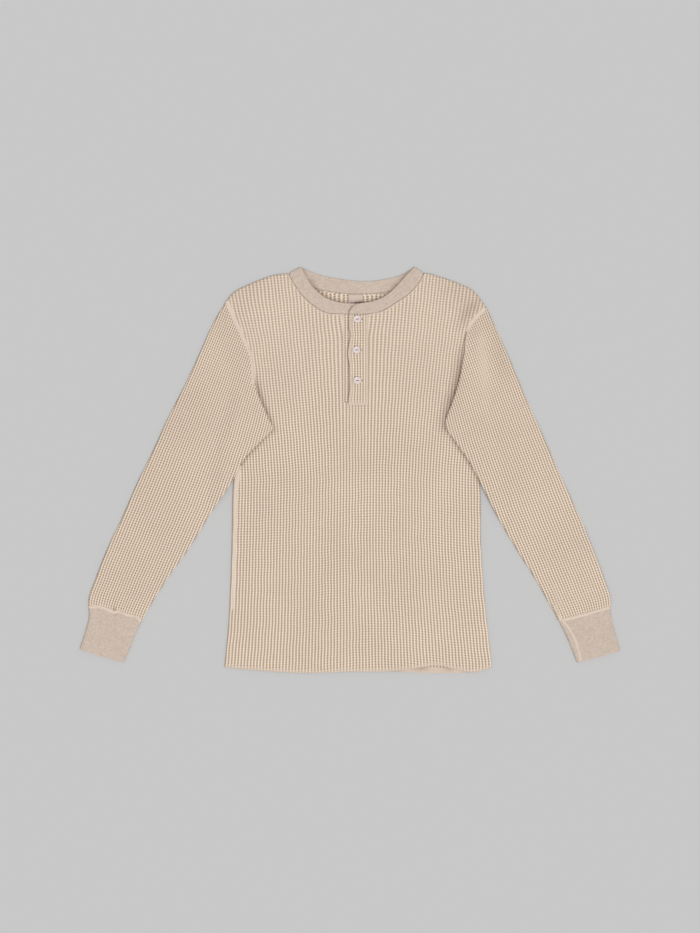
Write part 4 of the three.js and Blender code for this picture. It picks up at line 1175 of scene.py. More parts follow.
def laid_tube(name, table, mouth, end, knit, fine, material, climb=None, folds=(), waffled=True):
    outer, inner = smooth_line(table[:, :2]), smooth_line(table[:, 2:4])
    place, knit_at = knit
    outer[0], inner[0], outer[-1], inner[-1] = mouth[0], mouth[-1], end[0], end[-1]
    outline = np.vstack([mouth[:-1], inner[:-1], end[::-1][:-1], outer[::-1][:-1]])
    knit_box = knit_at(outline)
    low, high = np.floor(knit_box.min(0)) - 3, np.ceil(knit_box.max(0)) + 3
    grid = knit_grid(outline, place, (low[0], high[0]), (low[1], high[1]), fine)
    to_outer, to_inner = nearest(outer, grid.xy), nearest(inner, grid.xy)
    to_mouth, to_end = nearest(mouth, grid.xy), nearest(end, grid.xy)
    rows = np.arange(len(table))

    def row_at(found, line, section_points):
        run = run_of(section_points)
        return np.interp(found[:, 3] / run_of(line)[-1], run / run[-1], rows)

    def total_at(u, outer_row, inner_row):
        hollow, roll = np.interp(outer_row, rows, table[:, 4]), np.interp(inner_row, rows, table[:, 5])
        full = np.sin(np.pi * np.clip(u, 0, 1)) ** HOLLOW_FULLNESS
        return 2 * CLOTH + SEAM_GAP + (hollow - SEAM_GAP) * full + roll * bell(u - ROLL.place, ROLL.width)

    def lift_at(xy):
        if climb is None:
            return np.zeros(len(xy))
        near = ease(-CLIMB.starts, -CLIMB.ends, body_depth(xy))
        return OVER_FRONT * near * (1 - ease(climb.full, climb.start, xy[:, 1]))

    u = to_outer[:, 0] / np.maximum(to_outer[:, 0] + to_inner[:, 0], 1e-6)
    to_fold = np.minimum(to_outer[:, 0], to_inner[:, 0])
    bow = rounding(to_fold, FOLD_ROUND)
    lift = lift_at(grid.xy)
    total = total_at(u, row_at(to_outer, outer, table[:, :2]), row_at(to_inner, inner, table[:, 2:4]))
    plain = relief = np.zeros(len(u))
    if waffled:
        plain = 1 - ease(*PLAIN_AT_ENDS, np.minimum(to_mouth[:, 0], to_end[:, 0]))
        relief = SLEEVE_RELIEF * waffle(grid.rib, grid.course)
    for (*_, fade), share in zip(folds, crease_shares(grid.xy, folds)):
        plain = np.maximum(plain, fade * share)
    form = creases(grid.xy, to_fold, folds)
    below = lift / OVER_FRONT * (1 - rounding(to_mouth[:, 0], FOLD_ROUND)) * MOUTH_DROP
    patterned = (1 - plain) * bow
    upper_z = lift + total * (0.5 + 0.5 * bow) + relief * patterned + form - below
    hollow = (RIB_CROWN * SLEEVE_RELIEF - relief) * UNDERSIDE_RELIEF if waffled else 0
    lower_z = lift + total * (0.5 - 0.5 * bow) + hollow * patterned

    arcs = corner_arcs(grid, [mouth[0], mouth[-1], end[-1], end[0]])
    count = len(grid.xy)
    shared = np.unique(np.concatenate([arcs[1], arcs[3]]))
    partner = np.arange(count) + count
    partner[shared] = shared
    middle = (upper_z[shared] + lower_z[shared]) / 2
    upper_z[shared] = middle
    points = [np.column_stack([grid.xy, upper_z]), np.column_stack([grid.xy, lower_z])]
    faces = grid.faces.tolist() + partner[grid.faces[:, ::-1]].tolist()

    inner_rows = 2 * len(table)
    ring_u = np.linspace(0, 1, TUBE_STEPS)
    places = np.linspace(0, 1, inner_rows)
    left, right = along(outer, places), along(inner, places)
    ring_points, base = [], 2 * count
    for k, share in enumerate(places):
        width = np.linalg.norm(right[k] - left[k])
        inset = np.clip(FOLD_ROUND / width + ring_u * (1 - 2 * FOLD_ROUND / width), 0, 1)
        xy = left[k] + inset[:, None] * (right[k] - left[k])
        to_mouth_row, to_end_row = share * inner_rows, (1 - share) * inner_rows
        for line, weight in ((mouth, 1 - to_mouth_row / MOUTH_ROWS), (end, 1 - to_end_row / END_ROWS)):
            if weight > 0:
                xy = xy + weight * (along(line, inset) - xy)
        row = np.full(TUBE_STEPS, share * (len(table) - 1))
        wall_lift, wall_total = lift_at(xy), total_at(inset, row, row)
        ring_points.append(np.column_stack([xy, wall_lift + CLOTH]))
        ring_points.append(np.column_stack([xy, wall_lift + wall_total - CLOTH])[::-1])
    inner_points = np.vstack(ring_points)
    ring = 2 * TUBE_STEPS
    faces += [[base + corner for corner in face] for face in ring_faces(inner_rows, ring)[1]]
    ring_at = np.concatenate([ring_u, 2 - ring_u[::-1]])
    for arc, line, first in ((arcs[0], mouth, base), (arcs[2][::-1], end, base + (inner_rows - 1) * ring)):
        at = np.maximum.accumulate(nearest(line, grid.xy[arc])[:, 3]) / run_of(line)[-1]
        around = np.concatenate([partner[arc], arc[::-1][1:-1]])
        around_at = np.concatenate([at, 2 - at[::-1][1:-1]])
        faces += zipped(around, around_at, first + np.arange(ring), ring_at)

    points = np.vstack([*points, inner_points])
    knit_place = np.column_stack([grid.rib, grid.course])
    knit_places = np.vstack([knit_place, knit_place, knit_at(inner_points[:, :2])])
    plains = np.concatenate([plain, plain, np.zeros(len(inner_points))])
    return make_object(name, points, [(faces, knit_places)], material, plains if waffled else None)


# %% Build the sleeves
SLEEVE_CELLS = (4, 2)
LEAN_OF_LEFT, LEAN_OF_RIGHT = -22.2, 21.5
# Columns as for the creases, and how much of the waffle the fold's crest has lost
SLEEVE_FOLDS_LEFT = (
    (((-300, 78), (-262, 92), (-214, 70)), 13, -0.8, 0),
    (((-352, -92), (-322, -112), (-300, -140)), 11, 0.7, 0),
    (((-398, -150), (-366, -186)), 12, -0.5, 0),
    (((-396, -214), (-394, -226), (-397, -238)), 3, 1.5, 0),
)
SLEEVE_FOLDS_RIGHT = (
    (((219, 244), (224, 204), (228, 160), (229, 112)), 8, 1.7, 0.6),
    (((226, 72), (262, 60), (300, 74)), 13, -0.6, 0),
    (((276, -46), (318, -74)), 12, 0.6, 0),
    (((346, -196), (352, -222), (366, -246)), 5, 1.6, 0.3),
)

mouth_left = shifted(smooth_line(ARMHOLE_LEFT[:6]), -MOUTH_GAP)
mouth_right = shifted(smooth_line(ARMHOLE_RIGHT[:5]), MOUTH_GAP)
end_left = smooth_line(CUFF_SEAM_LEFT)
end_right = smooth_line(CUFF_SEAM_RIGHT)
knit_left = knit_down(smooth_line(SLEEVE_LEFT[:, :2]), LEAN_OF_LEFT)
knit_right = knit_down(smooth_line(SLEEVE_RIGHT[:, :2]), LEAN_OF_RIGHT)
sleeve_left = laid_tube(
    "shirt_sleeve_left", SLEEVE_LEFT, mouth_left, end_left + (0, 0.2), knit_left, SLEEVE_CELLS,
    waffle_knit, CLIMB_LEFT, SLEEVE_FOLDS_LEFT,
)
sleeve_right = laid_tube(
    "shirt_sleeve_right", SLEEVE_RIGHT, mouth_right, end_right + (0, 0.2), knit_right, SLEEVE_CELLS,
    waffle_knit, CLIMB_RIGHT, SLEEVE_FOLDS_RIGHT,
)

# %% [markdown]
# The cuffs are tubes of plain jersey, made in the same way. The place of a point in their knit is
# given in millimetres.

# %% Build the cuffs
CUFF_CELL = 2.5


def knit_of_cuff(table):
    heading = unit(table[-1, :2] - table[0, :2])
    sideways = np.array([-heading[1], heading[0]])

    def place(across, down):
        return table[0, :2] + across[..., None] * sideways + down[..., None] * heading

    def knit_at(xy):
        return np.column_stack([(xy - table[0, :2]) @ sideways, (xy - table[0, :2]) @ heading])

    return place, knit_at


def cuff(name, table, seam):
    foot = smooth_line(table[-1, :4].reshape(2, 2))
    fine = (1 / CUFF_CELL, 1 / CUFF_CELL)
    return laid_tube(name, table, seam - (0, 0.2), foot, knit_of_cuff(table), fine, jersey, waffled=False)


cuff_left = cuff("shirt_cuff_left", CUFF_LEFT, end_left)
cuff_right = cuff("shirt_cuff_right", CUFF_RIGHT, end_right)

# %% [markdown]
# ## The collar
# The collar is one doubled band of jersey. It lies face up over the front, turns over at each
# shoulder, and lies with its inside up across the back. So it is swept through sections: each has
# a free edge, a seam edge and the way that the face looks. Its free edge is a fold of the band and
# so it is round, and a row of stitches presses a groove beside it.

# %% Sweep the collar
COLLAR_WALL = 2.0
COLLAR_FOLD_STEPS = 13
COLLAR_FOLD_TUCK = 2.2
COLLAR_LAP = SimpleNamespace(rise=OVER_FRONT - FRONT_LEVEL, starts=58, ends=30)
NO_LAP = SimpleNamespace(rise=0.0, starts=58, ends=30)
COLLAR_END = SimpleNamespace(bulge=3.0, over=16.0)
COLLAR_RAISED = 1.2
# Columns: distance from the free edge, share of the half wall. The row of stitches is at 4.0
FREE_SIDE = (
    (0, 0), (0.25, 0.62), (0.8, 0.93), (1.7, 1.04), (2.9, 1.0), (3.5, 0.78), (4.0, 0.62), (4.6, 0.84),
    (5.6, 1.0), (7.5, 1.04),
)
# Columns: distance from the seam edge, share of the half wall
SEAM_SIDE = (
    (6.5, 1.04), (4.6, 0.98), (3.9, 0.9), (3.2, 0.97), (1.9, 0.98), (0.9, 0.9), (0.3, 0.66), (0, 0.3)
)


def collar_sections():
    half = COLLAR_WALL / 2
    front_level = FRONT_LEVEL + half
    radius = FRONT_LEVEL / 2
    rows = []

    def flat(table, faces_up):
        line = smooth_line(table)
        for place, (free_x, free_y, seam_x, seam_y) in zip(np.linspace(0, np.pi, len(line)), line):
            levels = [half, half]
            if faces_up:
                lap = COLLAR_LAP if table is COLLAR_FRONT_RIGHT else NO_LAP
                raised = [1 - ease(lap.ends, lap.starts, x) for x in (free_x, seam_x)]
                levels = [front_level + lap.rise * share for share in raised]
                levels[0] += COLLAR_RAISED * math.sin(place) ** 0.7
            yield (free_x, free_y, levels[0]), (seam_x, seam_y, levels[1]), (0, 0, 1 if faces_up else -1)

    def fold(row, side, downwards):
        free, seam = np.array(row[:2]), np.array(row[2:])
        line = unit(seam - free)
        seam = seam - line * COLLAR_FOLD_TUCK
        outward = np.array([-line[1], line[0]]) * side
        turns = np.radians(np.linspace(90, -90, COLLAR_FOLD_STEPS))
        for turn in turns if downwards else turns[::-1]:
            reach = outward * (radius * math.cos(turn) - radius - half)
            level = half + radius + radius * math.sin(turn)
            face = (outward[0] * math.cos(turn), outward[1] * math.cos(turn), math.sin(turn))
            yield (*(free + reach), level), (*(seam + reach), level), face

    rows += list(flat(COLLAR_FRONT_LEFT, True))[:-4]
    rows += list(fold(COLLAR_BACK[0], -1, True))
    rows += list(flat(COLLAR_BACK, False))[4:-4]
    rows += list(fold(COLLAR_BACK[-1], 1, False))
    rows += list(flat(COLLAR_FRONT_RIGHT, True))[4:]
    return np.array(rows, float)


def sweep_band(name, sections, material):
    """A closed band through sections of free edge, seam edge and facing."""
    free, seam, face = sections.transpose(1, 0, 2)
    width = np.linalg.norm(seam - free, axis=1)
    upper = [(out / width, half) for out, half in FREE_SIDE]
    upper += [(1 - out / width, half) for out, half in SEAM_SIDE]
    ring = upper + [(share, -half) for share, half in upper[-1:0:-1]]
    middle = (free + seam) / 2
    run = run_of(middle)
    to_end = run[-1] - run
    heading = unit(middle[-1] - middle[-3])
    points, places = [], []
    for share, height in ring:
        share = share * np.ones(len(free))
        bulge = COLLAR_END.bulge * (1 - ease(0, COLLAR_END.over, to_end)) * 4 * share * (1 - share)
        point = free + share[:, None] * (seam - free) + face * (height * COLLAR_WALL / 2)
        points.append(point + bulge[:, None] * heading)
        places.append(np.column_stack([run, share * width]))
    sides = len(ring)
    points, places = np.array(points).transpose(1, 0, 2), np.array(places).transpose(1, 0, 2)
    number, faces = ring_faces(len(free), sides)
    for row in (number[0], number[-1]):
        for k in range(len(upper) - 1):
            corners = [row[k], row[k + 1], row[(sides - k - 1) % sides], row[(sides - k) % sides]]
            faces.append(list(dict.fromkeys(corners)))
    return make_object(name, points.reshape(-1, 3), [(faces, places.reshape(-1, 2))], material)


collar_rows = collar_sections()
collar_piece = sweep_band("shirt_collar", collar_rows, jersey)

# %% [markdown]
# ## The placket
# The placket is two strips over a slit. The lower strip fills the slit. The upper strip is waffle with
# a plain free edge, and it laps over the lower one. Its free edge wanders and stands up a little
# between the buttons. Three buttonholes are cut through it with a Boolean, as a buttonhole is cut
# through the cloth after it is sewn.

# %% Placket pattern
OVER_STRIP = SimpleNamespace(left=-1.7, right=31.0, foot=109.7, top=PLACKET.top - SEAM_GAP, wall=1.9)
OVER_RIBS = 5
OVER_BORDER = 4.8
OVER_SEAM = 4.2
OVER_FOOT = 5.5
STITCH_FROM_FREE = 4.6
STITCH_FROM_SEAM = 2.2
# Columns: height up the strip, sideways shift of its free edge, lift of its free edge
OVER_EDGE = np.array(
    [
        (109.7, 0, 0), (120, -1, 1.1), (137, 1.4, 1.6), (152, 1.2, 0.3), (178, 0.6, 0.9),
        (199, -1.8, 0.2), (229, 2.4, 1.2), (242, 0, 0.4), (265, 0.4, 0),
    ]
)
BUTTONS = {"button_1": (12.4, 256.0), "button_2": (11.2, 203.7), "button_3": (12.4, 151.8)}
BUTTONHOLE = SimpleNamespace(left=-6.0, right=9.0, width=1.5)
OVER_FACE = SimpleNamespace(plain=0.15, groove=0.25, groove_wide=0.8, ripple=0.35, ripple_long=9.0)
OVER_ROUND = SimpleNamespace(top=0.9, under=0.8, radius=1.6)


def strip_place(across, up):
    """A point of the upper strip, from 0 to 1 across it."""
    shift = np.interp(up, over_edge[:, 0], over_edge[:, 1]) * (1 - across) ** 2
    return np.stack([OVER_STRIP.left + (OVER_STRIP.right - OVER_STRIP.left) * across + shift, up], -1)


def strip_lift(across, up):
    return np.interp(up, over_edge[:, 0], over_edge[:, 2]) * (1 - across) ** 3


over_edge = smooth_line(OVER_EDGE)

# %% Build the strips
def grid_slab(name, across, up, place, upper, lower, knit, plain, material):
    """A slab over a regular grid of shares across and heights up."""
    u, v = np.meshgrid(across, up)
    xy = place(u, v).reshape(-1, 2)
    count, (rows, columns) = u.size, u.shape
    number = np.arange(count).reshape(rows, columns)
    corners = (number[:-1, :-1], number[:-1, 1:], number[1:, 1:], number[1:, :-1])
    top = np.stack(corners, -1).reshape(-1, 4)
    rim = np.concatenate([number[0], number[1:, -1], number[-1, -2::-1], number[-2:0:-1, 0]])
    after = np.roll(rim, -1)
    sides = np.stack([rim, rim + count, after + count, after], 1)
    faces = top.tolist() + (top[:, ::-1] + count).tolist() + sides.tolist()
    u, v = u.ravel(), v.ravel()
    points = np.vstack([np.column_stack([xy, upper(u, v)]), np.column_stack([xy, lower(u, v)])])
    places = knit(u, v)
    groups = [(faces, np.vstack([places, places]))]
    return make_object(name, points, groups, material, np.tile(plain(u, v), 2))


def slab_edge(u, v, wide, high, low_v, radius=OVER_ROUND.radius):
    """1 inside a slab and 0 at its border, in a quarter circle."""
    gap = np.minimum.reduce([u * wide, (1 - u) * wide, v - low_v, low_v + high - v])
    return rounding(gap, radius)


over_wide, over_high = OVER_STRIP.right - OVER_STRIP.left, OVER_STRIP.top - OVER_STRIP.foot


def over_knit(u, v):
    inside = (u * over_wide - OVER_BORDER) / (over_wide - OVER_BORDER - OVER_SEAM)
    return np.column_stack([inside * OVER_RIBS, (TOP_LINE - v) / BODY_COURSE])


def over_plain(u, v):
    sides = [u * over_wide - OVER_BORDER, (1 - u) * over_wide - OVER_SEAM, v - OVER_STRIP.foot - OVER_FOOT]
    near = np.minimum.reduce(sides)
    return 1 - ease(-0.6, 0.6, near)


def over_upper(u, v):
    plain, face = over_plain(u, v), OVER_FACE
    relief = waffle(*over_knit(u, v).T) * (1 - plain) + face.plain * plain
    edge_share = slab_edge(u, v, over_wide, over_high, OVER_STRIP.foot)
    groove = face.groove * bell(u * over_wide - STITCH_FROM_FREE, face.groove_wide)
    ripple = face.ripple * np.sin(v / face.ripple_long + 3 * u) * (1 - u) ** 2
    height = OVER_STRIP.wall + relief - groove + ripple * edge_share
    return OVER_FRONT + strip_lift(u, v) + OVER_ROUND.top + (height - OVER_ROUND.top) * edge_share


def over_lower(u, v):
    edge_share = slab_edge(u, v, over_wide, over_high, OVER_STRIP.foot)
    return OVER_FRONT + strip_lift(u, v) + OVER_ROUND.under * (1 - edge_share)


def stops(low, high, step):
    return np.linspace(low, high, round((high - low) / step) + 1)


STRIP_STEP = 1.08
over_across = np.concatenate([[0, 0.008, 0.025], stops(0.05, 0.95, 0.0235), [0.975, 0.992, 1]])
over_up = np.concatenate(
    [OVER_STRIP.foot + np.array([0, 0.3, 0.9]), stops(OVER_STRIP.foot + 2, OVER_STRIP.top, STRIP_STEP)]
)
placket_over = grid_slab(
    "shirt_placket_over", over_across, over_up, strip_place, over_upper, over_lower, over_knit, over_plain,
    waffle_knit,
)

# %% [markdown]
# The lower strip shows as a narrow line of waffle beside the free edge of the upper one. The rest of
# it is hidden, and is plain.

# %% Build the lower strip
UNDER_RIB = 5.05
UNDER_SHOWN = 0.32
UNDER_FACE = SimpleNamespace(edge=0.8, less=1.2, wave=0.12, wave_long=13.0, radius=1.2)
under_wide = PLACKET.right - PLACKET.left - 2 * SEAM_GAP


def under_knit(u, v):
    return np.column_stack([u * under_wide / UNDER_RIB + 0.35, (TOP_LINE - v) / BODY_COURSE])


def under_plain(u, v):
    return ease(UNDER_SHOWN - 0.04, UNDER_SHOWN, u)


def under_upper(u, v):
    face, low = UNDER_FACE, PLACKET.foot + SEAM_GAP
    relief = waffle(*under_knit(u, v).T) * (1 - under_plain(u, v)) + face.wave * np.sin(v / face.wave_long)
    at_seam = np.maximum(u, 0.05)
    share = slab_edge(at_seam, v, under_wide, PLACKET.top - PLACKET.foot, low, face.radius)
    return FRONT_LEVEL + face.edge + (PLACKET.wall - face.less + relief) * share


placket_under = grid_slab(
    "shirt_placket_under", np.concatenate([stops(0, UNDER_SHOWN, 0.02), stops(0.38, 1, 0.06)]),
    stops(PLACKET.foot + SEAM_GAP, PLACKET.top, STRIP_STEP),
    lambda u, v: np.stack([PLACKET.left + SEAM_GAP + under_wide * u, v], -1), under_upper,
    lambda u, v: np.full(len(u), FRONT_LEVEL), under_knit, under_plain, waffle_knit,
)

# %% Cut the buttonholes
def cut(target, boxes):
    """Cut boxes of low and high corners, in millimetres on the pattern, out of a mesh."""
    mesh = bpy.data.meshes.new("cutters")
    shape = bmesh.new()
    for low, high in boxes:
        made = bmesh.ops.create_cube(shape, size=1.0)["verts"]
        size, middle = np.subtract(high, low), np.add(high, low) / 2
        for vertex in made:
            vertex.co = Vector((np.array(vertex.co) * size + middle + MOVED) * MM)
    shape.to_mesh(mesh)
    shape.free()
    cutter = placed_object("cutters", mesh)
    modifier = target.modifiers.new("cut", "BOOLEAN")
    modifier.operation, modifier.solver, modifier.object = "DIFFERENCE", "EXACT", cutter
    result = bpy.data.meshes.new_from_object(target.evaluated_get(bpy.context.evaluated_depsgraph_get()))
    target.modifiers.remove(modifier)
    target.data = result
    bpy.data.objects.remove(cutter)
    print(f"{target.name}: {len(boxes)} holes, {len(result.polygons)} faces")


hole_low = np.array([BUTTONHOLE.left, -BUTTONHOLE.width / 2, 0])
hole_high = np.array([BUTTONHOLE.right, BUTTONHOLE.width / 2, 20])
cut(placket_over, [((x, y, 0) + hole_low, (x, y, 0) + hole_high) for x, y in BUTTONS.values()])

# %% [markdown]
# ## Buttons
# A shirt button of this kind is turned from shell: a raised rim round a shallow dish, and an
# eye-shaped hollow across its middle with two holes for the thread. A lathe makes round parts, so
# the button is made from rings, and the hollow is pressed into the rings where they cross it.

# %% Build the buttons
BUTTON = SimpleNamespace(radius=6.35, height=2.6, sides=72, clearance=0.45)
# Columns: share of the radius, share of the height
BUTTON_UNDER = ((0, 0), (0.5, 0), (0.8, 0.01), (0.92, 0.12), (0.985, 0.3))
BUTTON_RIM = (
    (1.0, 0.5), (0.985, 0.74), (0.94, 0.92), (0.87, 1.0), (0.79, 0.98), (0.71, 0.88), (0.63, 0.8)
)
BUTTON_EYE = SimpleNamespace(long=3.1, wide=1.15, deep=0.85)
BUTTON_DISH = 0.76
DISH_START = 0.63
DISH_RINGS = 22
OVER_TOP = OVER_FRONT + OVER_STRIP.wall + RIB_RISE


def build_button(name, x, y):
    dish = [(DISH_START * (1 - k / DISH_RINGS), BUTTON_DISH) for k in range(1, DISH_RINGS)]
    profile = np.array([*BUTTON_UNDER[1:], *BUTTON_RIM, *dish])
    turn = np.arange(BUTTON.sides) * 2 * np.pi / BUTTON.sides
    out, up = profile[:, :1] * BUTTON.radius, profile[:, 1:] * BUTTON.height
    across, along_y = out * np.cos(turn), out * np.sin(turn)
    eye = 1 - (across / BUTTON_EYE.long) ** 2 - (along_y / BUTTON_EYE.wide) ** 2
    first_top = len(BUTTON_UNDER) + len(BUTTON_RIM) - 2
    sunk = np.where(np.arange(len(profile))[:, None] > first_top, BUTTON_EYE.deep * ease(0, 0.6, eye), 0)
    rings = np.stack([across, along_y, up - sunk], -1).reshape(-1, 3)
    ends = [(0, 0, 0), (0, 0, BUTTON_DISH * BUTTON.height - BUTTON_EYE.deep)]
    points = np.vstack([rings, ends]) + (x, y, OVER_TOP + BUTTON.clearance)
    number, faces = ring_faces(len(profile), BUTTON.sides)
    faces += [[len(rings), b, a] for a, b in zip(number[0], np.roll(number[0], -1))]
    faces += [[len(rings) + 1, a, b] for a, b in zip(number[-1], np.roll(number[-1], -1))]
    return make_object(name, points, [(faces, points[:, :2])], pearl)


buttons = {name: build_button(f"shirt_{name}", *spot) for name, spot in BUTTONS.items()}

# %% [markdown]
# ## The label
# A short woven tape is sewn inside the back neck by its upper edge. It is a loose slab, stitched only
# along the top, so its lower end lifts a little and waves. Its face is bare.

# %% Build the label
LABEL = SimpleNamespace(left=-2.7, right=20.4, foot=285.0, top=298.6, wall=0.6, radius=0.9)
LABEL_WAVE = SimpleNamespace(lift=0.25, middle=0.6, swing=0.4, turns=5)
label_wide = LABEL.right - LABEL.left


def label_level(u, v):
    free, rule = 1 - (v - LABEL.foot) / (LABEL.top - LABEL.foot), LABEL_WAVE
    return FRONT_LEVEL + rule.lift * free * (rule.middle + rule.swing * np.cos(rule.turns * u))


def label_upper(u, v):
    share = slab_edge(u, v, label_wide, LABEL.top - LABEL.foot, LABEL.foot, LABEL.radius)
    return label_level(u, v) + LABEL.wall * (0.5 + 0.5 * share)


label_piece = grid_slab(
    "shirt_label", stops(0, 1, 0.05), stops(LABEL.foot, LABEL.top, 1.0),
    lambda u, v: np.stack([LABEL.left + label_wide * u, v], -1), label_upper, label_level,
    lambda u, v: np.column_stack([u * label_wide, v]), lambda u, v: np.zeros(len(u)), tape,
)

# %% [markdown]
# ## Seams and stitches
# Knits are joined with flat seams. The edges of the cloth are covered by loops of thread, which
# make a pale band across the joint. Hems, the placket and the collar have plain rows of stitches.
# A band is laid on the finished pieces: its points drop onto whatever lies highest below them, and
# the band presses the waffle flat. Stitches repeat hundreds of times, so one Geometry Nodes tree
# sets them along any path.

# %% Drop points onto the pieces
def surface_of(*pieces):
    """A rule for the height of the highest of these pieces below points of the pattern."""
    graph = bpy.context.evaluated_depsgraph_get()
    trees = [BVHTree.FromObject(piece, graph) for piece in pieces]
    down = Vector((0, 0, -1))

    def height(xy):
        found = []
        for x, y in xy:
            start = Vector(((x + MOVED[0]) * MM, (y + MOVED[1]) * MM, 0.1))
            hits = [tree.ray_cast(start, down)[0] for tree in trees]
            found.append(max((hit.z / MM - MOVED[2] for hit in hits if hit), default=np.nan))
        return np.array(found)

    return height


def completed(values):
    """The values of a row, with straight steps over those that are missing."""
    known = ~np.isnan(values)
    return np.interp(np.arange(len(values)), np.flatnonzero(known), values[known]) if known.any() else values


def evened(values, reach):
    """The values along a path, averaged over some steps on each side."""
    padded = np.pad(values, reach, mode="edge")
    return np.convolve(padded, np.ones(2 * reach + 1) / (2 * reach + 1), mode="valid")


# %% A flat band over a seam
BAND_STEP = 1.2
BAND_ACROSS = np.linspace(-1, 1, 9)
BAND_EVENED = 3
BAND_DEEP = 0.5
BAND_TUCK = 0.15
BAND_RIPPLE = SimpleNamespace(size=0.1, length=1.9)


def seam_band(name, path, width, rise, height):
    """width is one number, or one for each end of the path."""
    path = spaced(smooth_line(path), BAND_STEP)
    run = run_of(path)
    widths = np.linspace(*np.broadcast_to(width, 2), len(path))
    ends = rounding(np.minimum(run, run[-1] - run) + 0.2, 2.0)
    sideways = leftward(path) * widths[:, None] / 2
    bases = np.array([height(path + sideways * across) for across in BAND_ACROSS])
    bases = np.apply_along_axis(completed, 0, bases)
    bases = np.apply_along_axis(completed, 1, bases)
    upper, lower, places = [], [], []
    for across, base in zip(BAND_ACROSS, bases):
        side = across * widths / 2
        xy = path + sideways * across
        base = evened(base, BAND_EVENED)
        crown = math.sqrt(max(0.0, 1 - across**2)) ** 0.7
        ripple = BAND_RIPPLE.size * np.sin(run * 2 * np.pi / BAND_RIPPLE.length)
        level = base + (rise * crown + ripple * crown) * ends - BAND_TUCK * (1 - crown)
        upper.append(np.column_stack([xy, level]))
        lower.append(np.column_stack([xy, base - BAND_DEEP]))
        places.append(np.column_stack([run, side]))
    ring = np.array(upper + lower[::-1]).transpose(1, 0, 2)
    place = np.array(places + places[::-1]).transpose(1, 0, 2)
    number, faces = ring_faces(*ring.shape[:2])
    sides = ring.shape[1]
    for row in (number[0], number[-1]):
        for k in range(sides // 2 - 1):
            faces.append([row[k], row[k + 1], row[sides - 2 - k], row[sides - 1 - k]])
    groups = [(faces, place.reshape(-1, 2))]
    return make_object(name, ring.reshape(-1, 3), groups, seam_thread, shaded=False)


# %% Stitches along a path, as Geometry Nodes
GEOMETRY, INTEGER, MATERIAL = "NodeSocketGeometry", "NodeSocketInt", "NodeSocketMaterial"

stitch_tree, given, wanted = new_group(
    "stitches along a path",
    [
        ("Path", GEOMETRY, None), ("Spacing", FLOAT, 0.0024), ("Length", FLOAT, 0.002),
        ("Thickness", FLOAT, 0.00045), ("Turn", FLOAT, 0.0), ("Unevenness", FLOAT, 0.12),
        ("Seed", INTEGER, 7), ("Thread", MATERIAL, None),
    ],
    [("Stitches", GEOMETRY)],
    "GeometryNodeTree",
)


def random_value(tree, low, high, seed):
    made = add(tree, "FunctionNodeRandomValue", data_type="FLOAT")
    for place, value in ((2, low), (3, high), (8, seed)):
        feed(tree, made.inputs[place], value)
    return made.outputs[1]


def step(tree, kind, feeds, **settings):
    """A node with some of its sockets fed, found by name."""
    made = add(tree, kind, **settings)
    for label, value in feeds.items():
        feed(tree, made.inputs[label], value)
    return made.outputs


path_curve = step(stitch_tree, "GeometryNodeMeshToCurve", {"Mesh": given["Path"]})
spots = step(
    stitch_tree, "GeometryNodeCurveToPoints", {"Curve": path_curve[0], "Length": given["Spacing"]},
    mode="LENGTH",
)
aligned = step(stitch_tree, "FunctionNodeAlignRotationToVector", {"Vector": spots["Tangent"]}, axis="X")
less = calc(stitch_tree, "MULTIPLY", given["Unevenness"], -1.0)
wobble = random_value(stitch_tree, less, given["Unevenness"], given["Seed"])
angle = calc(stitch_tree, "ADD", given["Turn"], wobble)
spin = step(stitch_tree, "FunctionNodeAxisAngleToRotation", {"Axis": (0, 0, 1), "Angle": angle})
turned = step(
    stitch_tree, "FunctionNodeRotateRotation", {"Rotation": aligned[0], "Rotate By": spin[0]},
    rotation_space="LOCAL",
)
next_seed = calc(stitch_tree, "ADD", given["Seed"], 1.0)
longer = calc(stitch_tree, "ADD", 1.0, random_value(stitch_tree, less, given["Unevenness"], next_seed))
half_long = calc(stitch_tree, "MULTIPLY", calc(stitch_tree, "MULTIPLY", given["Length"], 0.5), longer)
half_thick = calc(stitch_tree, "MULTIPLY", given["Thickness"], 0.5)
size = step(stitch_tree, "ShaderNodeCombineXYZ", {"X": half_long, "Y": half_thick, "Z": half_thick})
bead = step(stitch_tree, "GeometryNodeMeshUVSphere", {"Segments": 6, "Rings": 4, "Radius": 1.0})
placed = step(
    stitch_tree, "GeometryNodeInstanceOnPoints",
    {"Points": spots["Points"], "Instance": bead["Mesh"], "Rotation": turned[0], "Scale": size[0]},
)
real = step(stitch_tree, "GeometryNodeRealizeInstances", {"Geometry": placed[0]})
smooth = step(stitch_tree, "GeometryNodeSetShadeSmooth", {"Geometry": real[0]})
painted = step(stitch_tree, "GeometryNodeSetMaterial", {"Geometry": smooth[0], "Material": given["Thread"]})
feed(stitch_tree, wanted["Stitches"], painted[0])


